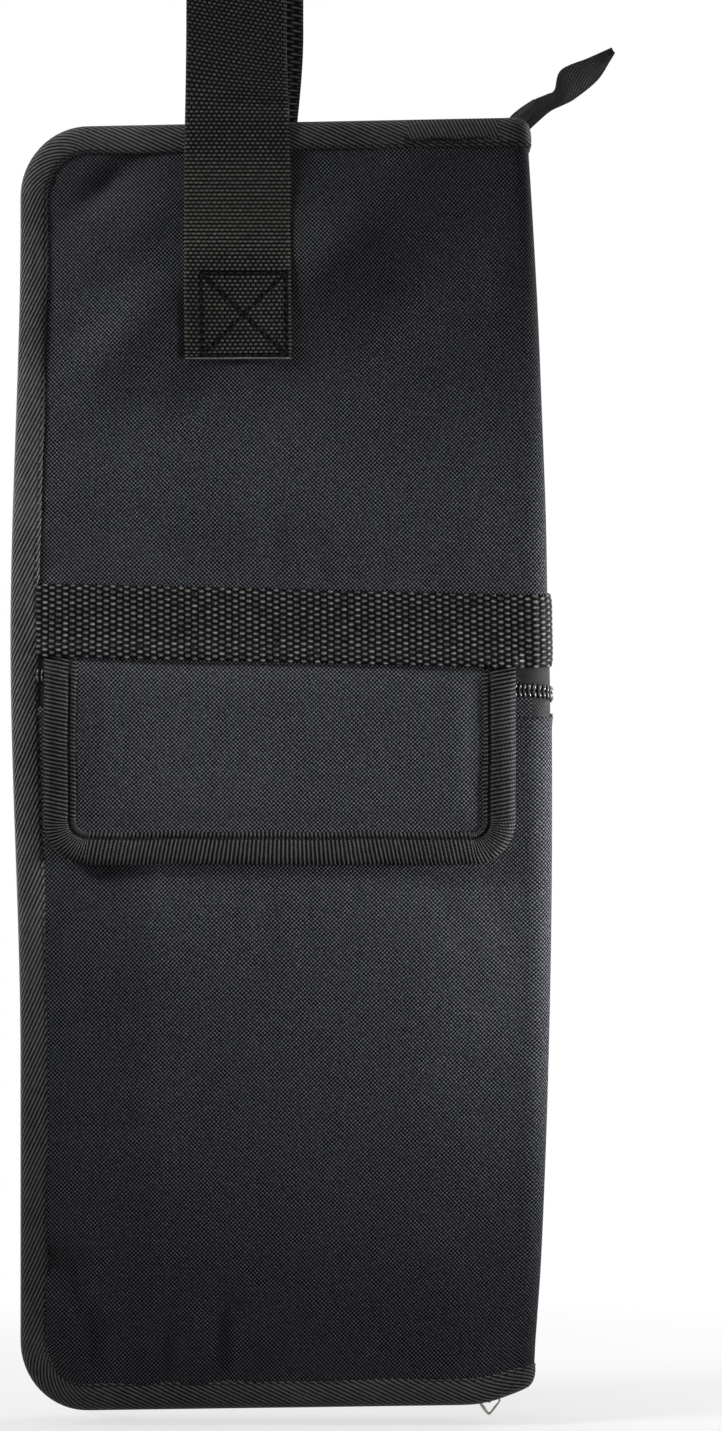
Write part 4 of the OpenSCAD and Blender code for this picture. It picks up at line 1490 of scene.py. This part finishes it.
line_x, line_y, _ = sleeve_place(np.linspace(0, 1, 401), np.full(401, SLEEVE_H / 2), 0)
SLEEVE_CUT = (float(np.hypot(np.diff(line_x), np.diff(line_y)).sum()), SLEEVE_H)
sleeves = lay("sleeves", 120, 60, SLEEVE_CUT, lambda a, b: sleeve_place(a, b * SLEEVE_H, 0))
thicken(sleeves, 0.7 * MM)
dress(sleeves, lining_cloth, ["stick_sleeves"])
print("sleeve sheet", [round(length / MM) for length in SLEEVE_CUT], "mm before it was sewn down")
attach(sleeves, "back")

mouth = lay(
    "sleeve_mouth",
    120,
    6,
    (SLEEVE_CUT[0], MOUTH_TAPE_W),
    lambda a, b: sleeve_place(a, SLEEVE_H + 0.6 * MM - (1 - b) * MOUTH_TAPE_W, 0.6 * MM),
)
thicken(mouth, 0.5 * MM)
dress(mouth, edge_tape, ["sleeve_mouth_tape"])
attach(mouth, "back")

rows = []
for line in range(SLEEVE_COUNT + 1):
    height = np.arange(2 * MM, SLEEVE_H - 2 * MM, STITCH_L)
    points = as_points(sleeve_place(np.full_like(height, line / SLEEVE_COUNT), height, 0.5 * MM))
    rows.append((points, np.tile([0.0, -1.0, 0.0], (len(height), 1))))
seam = stitches("sleeve_seams", rows)
dress(seam, thread)
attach(seam, "back")

# %% [markdown]
# Where the binding ends
#
# The tape of the front half starts and ends at the top of the spine. Its end is lapped over itself and caught
# down with a few rough stitches, so a short second layer lies on the binding there and loose thread
# hangs along its lower side. Both are small, but they are what makes a sewn edge look sewn.

# %% Lapped end and loose thread
LAP_LEFT, LAP_RIGHT = 65 * MM, 100 * MM
LAP_INSET = 7.2 * MM
LAP_RISE = 0.5 * MM
LAP_SIZE = (LAP_RIGHT - LAP_LEFT, LAP_INSET)
outside = fold_out > -2 * MM
lap_d, lap_out = fold_d[outside][::-1], fold_out[outside][::-1]


def lap_place(a, b):
    u = LAP_LEFT - EDGE_X + a * LAP_SIZE[0]
    inset = 0.3 * MM + b * (LAP_INSET - 0.3 * MM) + 0.25 * MM * np.sin(u / (2.3 * MM)) * b
    out = np.interp(inset, lap_d, lap_out) + LAP_RISE * np.minimum(1, 6 * (1 - a))
    return wrap(FRONT, u, TOP_Z - inset, out)


lap = lay("lapped_tape_end", 60, 14, LAP_SIZE, lap_place)
thicken(lap, 0.5 * MM)
dress(lap, edge_tape)
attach(lap, "cover")

draw = np.random.default_rng(7)
LOOSE_COUNT = 90
u = LAP_LEFT - EDGE_X + draw.uniform(-1, 29, LOOSE_COUNT) * MM
inset = LAP_INSET + draw.normal(0, 0.45, LOOSE_COUNT) * MM
points, outward = on_bag(FRONT, u, TOP_Z - inset, draw.uniform(1.2, 1.9, LOOSE_COUNT) * MM)
slope = draw.normal(0, 0.35, LOOSE_COUNT)
along = np.stack([np.cos(slope), np.zeros(LOOSE_COUNT), np.sin(slope)], 1)
reach = draw.uniform(0.8, 2.4, (LOOSE_COUNT, 1)) * MM
axes = np.stack([along * reach, np.cross(outward, along) * 0.22 * MM, outward * 0.22 * MM], 1)
loose = copies("loose_thread", STITCH, points, axes)
dress(loose, thread)
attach(loose, "cover")

# %% [markdown]
# The zip's tail
#
# Past its upper stop the zip tape comes out at the corner, folded and twisted, and flares into a loose tab to
# hold while zipping. Its two edges are drawn as a few listed points and a smooth curve is run
# through them, with the tape spanned between. The depth dips along the middle, where the tape is creased.

# %% A smooth curve through a few points
def curve_through(points, t):
    """Places at shares t of the way along a smooth curve through all the points."""
    points = np.asarray(points, float)
    place = np.clip(t, 0, 1) * (len(points) - 1)
    first = np.minimum(place.astype(int), len(points) - 2)
    f = (place - first)[:, None]
    start, end = points[first], points[first + 1]
    lead = (end - points[np.maximum(first - 1, 0)]) / 2
    leave = (points[np.minimum(first + 2, len(points) - 1)] - start) / 2
    turn = start * (2 * f**3 - 3 * f**2 + 1) + end * (3 * f**2 - 2 * f**3)
    return turn + lead * (f**3 - 2 * f**2 + f) + leave * (f**3 - f**2)


# %% Tail and its folded root
TAIL_CORNER = np.array(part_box("zip_tail")[0])
TAIL_MIDDLE = (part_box("zip_tail")[0].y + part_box("zip_tail")[1].y) / 2
TAIL_UPPER = [
    (-1.0, -0.6, 6.0),
    (1.4, -1.6, 14.0),
    (7.0, -2.6, 18.7),
    (12.0, -2.2, 21.0),
    (15.0, -1.0, 22.9),
    (17.3, 0.6, 30.3),
    (26.9, 1.0, 34.6),
    (33.0, 0.6, 37.2),
    (35.6, 0.2, 38.2),
]
TAIL_LOWER = [
    (3.4, 2.6, 4.0),
    (5.4, 2.6, 8.2),
    (8.6, 2.0, 11.4),
    (13.4, 0.8, 15.4),
    (18.0, 0.0, 17.6),
    (22.3, -0.6, 19.9),
    (30.2, -0.8, 26.4),
    (34.8, -0.2, 33.5),
    (36.6, 0.0, 36.6),
]
LOBE_UPPER = [(-2.6, -3.4, 9.0), (-1.4, -3.8, 12.6), (2.0, -4.2, 15.6), (7.4, -3.6, 19.2)]
LOBE_LOWER = [(1.4, -3.2, 7.0), (4.0, -3.6, 10.2), (6.2, -3.6, 13.4), (8.0, -3.2, 16.6)]


def span_tape(name, upper, lower, crease_depth, faces):
    """A tape spanned between two edges, with its crease in the middle and a few fine pleats."""
    size = (running_length(upper)[-1] * MM, 10 * MM)

    def place(a, b):
        edge_up, edge_low = curve_through(upper, a), curve_through(lower, a)
        at = (edge_up * b[:, None] + edge_low * (1 - b[:, None])) * MM + TAIL_CORNER
        fold = crease_depth * (1 - abs(2 * b - 0.9) ** 1.3) + 0.25 * MM * np.sin(b * 14 + a * 5) * (1 - a)
        return at[:, 0], TAIL_MIDDLE + at[:, 1] - TAIL_CORNER[1] + fold, at[:, 2]

    tape = lay(name, *faces, size, place)
    thicken(tape, 0.5 * MM)
    dress(tape, tail_weave)
    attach(tape, "spine")
    return tape


tail = span_tape("tail_tape", TAIL_UPPER, TAIL_LOWER, 1.3 * MM, (72, 22))
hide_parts("zip_tail")
span_tape("tail_fold", LOBE_UPPER, LOBE_LOWER, -0.9 * MM, (24, 14))

# %% [markdown]
# Sliders
#
# A slider is two shaped plates held apart by a post, with an eye for the pull on its outer plate. Both
# sliders are drawn in one local frame, where x is the way it slides, y is across it and z points away
# from the eye, and then placed. The plates taper towards the tail and their sides curl in over the coil.

# %% Slider parts
SLIDER_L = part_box("main_slider")[1].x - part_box("main_slider")[0].x
SLIDER_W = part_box("main_slider")[1].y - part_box("main_slider")[0].y
PLATE_T, PLATE_CROWN, PLATE_CURL = 1.0 * MM, 0.35 * MM, 0.55 * MM
EYE_R, EYE_WIRE = 1.12 * MM, 0.46 * MM
POST_L = 2.0 * MM


def slider_plate(face, gap):
    """One plate: face is 1 or -1 along the local z, and gap is the distance to the coil's middle."""

    def place(a, b):
        x = (a - 0.5) * SLIDER_L
        nose = (1 - abs(2 * a - 1) ** 6) ** (1 / 3)
        width = SLIDER_W / 2 * (0.66 + 0.34 * ease((a + 0.15) / 0.8)) * np.maximum(nose, 0.45)
        side = 2 * b - 1
        crown = PLATE_CROWN * (1 - side**2) * (1 - (2 * a - 1) ** 2)
        curl = PLATE_CURL * ease((abs(side) - 0.75) / 0.25)
        return x, side * width, face * (gap + PLATE_T / 2 + crown - curl)

    plate = lay("plate", 20, 16, (SLIDER_L, SLIDER_W), place)
    thicken(plate, PLATE_T * 0.8)
    edit(plate, (bpy.ops.mesh.bevel, {"offset": 0.12 * MM, "segments": 1, "affect": "EDGES"}))
    return plate


def slider_parts(gap, eye_drop):
    deselect()
    bpy.ops.mesh.primitive_torus_add(
        location=(0, 0, -eye_drop),
        rotation=(0, math.pi / 2, 0),
        major_segments=28,
        minor_segments=12,
        major_radius=EYE_R,
        minor_radius=EYE_WIRE,
    )
    eye = bpy.context.object
    bpy.ops.object.transform_apply(location=True, rotation=True, scale=True)
    points = read_points(eye)
    points[:, 0] *= 1.7
    write_points(eye, points)
    post = bevelled_block(
        "post",
        (SLIDER_L / 2 - POST_L, -0.4 * MM, -gap - 0.2 * MM),
        (SLIDER_L / 2 - 0.3 * MM, 0.4 * MM, gap + 0.2 * MM),
        0.15 * MM,
    )
    return [slider_plate(-1, gap), slider_plate(1, gap), eye, post]


# %% Place the sliders
main_low, main_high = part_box("main_slider")
pocket_low, pocket_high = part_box("pocket_slider")
MAIN_AT = Vector(((main_low.x + main_high.x) / 2, 0, main_high.z - 2.5 * MM))
POCKET_AT = Vector(((pocket_low.x + pocket_high.x) / 2, pocket_low.y + 2.1 * MM, POCKET_ZIP_Z))


def turned_back(points):
    """From the local frame to the back of the bag, with the eye outwards."""
    return np.stack([-points[:, 0], -points[:, 2], points[:, 1]], 1)


def as_drawn(points):
    return points


SLIDERS = [
    ("main", MAIN_AT, as_drawn, 1.5 * MM, "main_pull_swing"),
    ("pocket", POCKET_AT, turned_back, 1.1 * MM, "pocket_pull_swing"),
]
pivots = {j["name"]: Vector(j["pos_m"]) for j in frame["joints"] if "pos_m" in j}
for word, at, turn, gap, swing in SLIDERS:
    drop = (pivots[swing] - at).length
    slider = join(f"{word}_slider_body", slider_parts(gap, drop))
    write_points(slider, turn(read_points(slider)) + np.array(at))
    face_out(slider)
    dress(slider, enamel, [f"{word}_slider"], angle=35)
    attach(slider, f"{word}_slider")

# %% [markdown]
# Pull rings
#
# Each pull is a bare wire bent into a triangle: its top bar lies in the slider's eye and its corner hangs
# down. Three arcs and the straights between them make the loop, and a flat tube is swept along it.

# %% Wire rings
RING_W, RING_H = 9 * MM, 5.9 * MM
RING_CORNER = 0.7 * MM
WIRE_R = 0.5 * MM
RING_TURNS = 8


def ring_loop():
    """Points round the triangle, in x and z, with the bar's middle at the origin."""
    corners = np.array([(-RING_W / 2, 0), (0, -RING_H), (RING_W / 2, 0)])
    loop = []
    for number, corner in enumerate(corners):
        before = unit(corners[number - 1] - corner)
        after = unit(corners[(number + 1) % 3] - corner)
        half = math.acos(float(before @ after)) / 2
        middle = corner + unit(before + after) * RING_CORNER / math.sin(half)
        first = corner + before * RING_CORNER / math.tan(half) - middle
        last = corner + after * RING_CORNER / math.tan(half) - middle
        for t in np.linspace(0, 1, RING_TURNS):
            loop.append(middle + unit(first * (1 - t) + last * t) * RING_CORNER)
    return np.array(loop + loop[:1])


def wire_ring(name, pivot):
    loop = ring_loop()
    run = running_length(loop)

    def place(a, b):
        s = b * run[-1]
        x, z = np.interp(s, run, loop[:, 0]), np.interp(s, run, loop[:, 1])
        radial = unit(np.stack([x, z + RING_H * 0.36], 1))
        angle = a * 2 * math.pi
        thick = WIRE_R * (0.85 + 0.4 * ease(0.5 - x / (3 * MM)) * ease(-z / (1.5 * MM)))
        out = thick * np.cos(angle)
        side_x, side_z = radial.T * out
        return pivot.x + x + side_x, pivot.y + thick * np.sin(angle), pivot.z + z + side_z

    ring = lay(name, 12, 120, (2 * math.pi * WIRE_R, run[-1]), place)
    edit(ring, (bpy.ops.mesh.remove_doubles, {"threshold": 1e-6}))
    face_out(ring)
    return ring


for word, _, _, _, swing in SLIDERS:
    ring = wire_ring(f"{word}_wire_ring", pivots[swing])
    dress(ring, wire, [f"{word}_pull_ring"])
    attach(ring, f"{word}_pull")

# %% [markdown]
# Floor, world and light
#
# The bag hangs just over a plain pale floor in a white studio. A floor that is lit to white would throw too
# much light back, so it turns into an even white only for rays that come straight from the camera or from a
# reflection, and only away from the bag. Close to the bag it stays a real floor and keeps the shadow.

# %% Floor
FLOOR_Z = frame_box[0][2] - 1 * MM
FLOOR_SIZE = 40
CLEAR_NEAR, CLEAR_FAR = 0.08, 0.36
CLEAR_LEAST = 0.7
deselect()
bpy.ops.mesh.primitive_grid_add(x_subdivisions=8, y_subdivisions=8, size=FLOOR_SIZE)
floor = bpy.context.object
floor.name = floor.data.name = "floor"
write_points(floor, read_points(floor) + np.array([0, 0, FLOOR_Z]))


def seen_directly(tree):
    """1 for rays from the camera, from a reflection or through glass, and 0 for light on the object."""
    path = tree.nodes.new("ShaderNodeLightPath")
    kinds = ("Is Camera Ray", "Is Glossy Ray", "Is Transmission Ray")
    return sum(Wire(tree, path.outputs[kind]) for kind in kinds).clamp()


finish, tree, shader = new_finish("studio_floor", Roughness=0.9, Specular_IOR_Level=0.1)
place = add_node(tree, "ShaderNodeTexCoord", out=3)
grain = cloudy(place, 6.0)
plug(tree, shader.inputs["Base Color"], blend_colours(grain, (0.80, 0.80, 0.80), (0.86, 0.86, 0.86)))
middle = add_node(tree, "ShaderNodeVectorMath", {"operation": "SUBTRACT"})
plug(tree, middle.socket.node.inputs[0], place)
middle.socket.node.inputs[1].default_value = (FOLD_X / 2 + EDGE_X / 2, 0, FLOOR_Z)
length = tree.nodes.new("ShaderNodeVectorMath")
length.operation = "LENGTH"
tree.links.new(middle.socket, length.inputs[0])
far = ((Wire(tree, length.outputs["Value"]) - CLEAR_NEAR) * (1 / (CLEAR_FAR - CLEAR_NEAR))).clamp()
far = far * (1 - CLEAR_LEAST) + CLEAR_LEAST
white = add_node(tree, "ShaderNodeEmission", None, 0, Color=(1.0, 1.0, 1.0, 1.0), Strength=1.0)
mix = tree.nodes.new("ShaderNodeMixShader")
plug(tree, mix.inputs[0], far * seen_directly(tree))
tree.links.new(shader.outputs[0], mix.inputs[1])
plug(tree, mix.inputs[2], white)
tree.links.new(mix.outputs[0], tree.nodes["Material Output"].inputs["Surface"])
floor.data.materials.append(finish)
print("floor at", round(FLOOR_Z / MM, 1), "mm")

# %% World
AMBIENT = 0.06
world = bpy.data.worlds.new("studio")
bpy.context.scene.world = world
world.use_nodes = True
sky = world.node_tree.nodes["Background"]
sky.inputs["Color"].default_value = (1.0, 1.0, 1.0, 1.0)
plug(world.node_tree, sky.inputs["Strength"], seen_directly(world.node_tree) * (1 - AMBIENT) + AMBIENT)

# %% Lamps
def soft_lamp(name, place, target, size, power, spread):
    """A square area lamp that faces a point, with a grid that narrows its beam to a spread in degrees."""
    deselect()
    bpy.ops.object.light_add(type="AREA", location=place)
    lamp = bpy.context.object
    lamp.name = name
    lamp.rotation_euler = (Vector(target) - Vector(place)).to_track_quat("-Z", "Y").to_euler()
    lamp.data.size = size
    lamp.data.energy = power
    lamp.data.spread = math.radians(spread)
    print("lamp", name, power, "W")


soft_lamp("key", (-0.66, -0.30, 0.18), (0.02, 0.0, -0.32), 0.28, 0.50, 30)
soft_lamp("side", (0.85, -0.13, -0.36), (0.09, 0.0, -0.35), 0.14, 0.60, 26)
soft_lamp("fill", (0.15, -1.60, 0.05), (0.05, 0.0, -0.06), 0.5, 0.25, 40)
soft_lamp("top", (-0.2, 0.1, 1.1), (0.0, 0.0, -0.3), 1.0, 2.5, 120)
soft_lamp("back_key", (0.75, 0.60, 0.05), (0.0, 0.0, -0.32), 0.5, 1.0, 60)
soft_lamp("back_fill", (-0.75, 0.80, -0.25), (0.0, 0.0, -0.32), 0.5, 0.6, 60)
bpy.context.scene.view_settings.view_transform = "Standard"
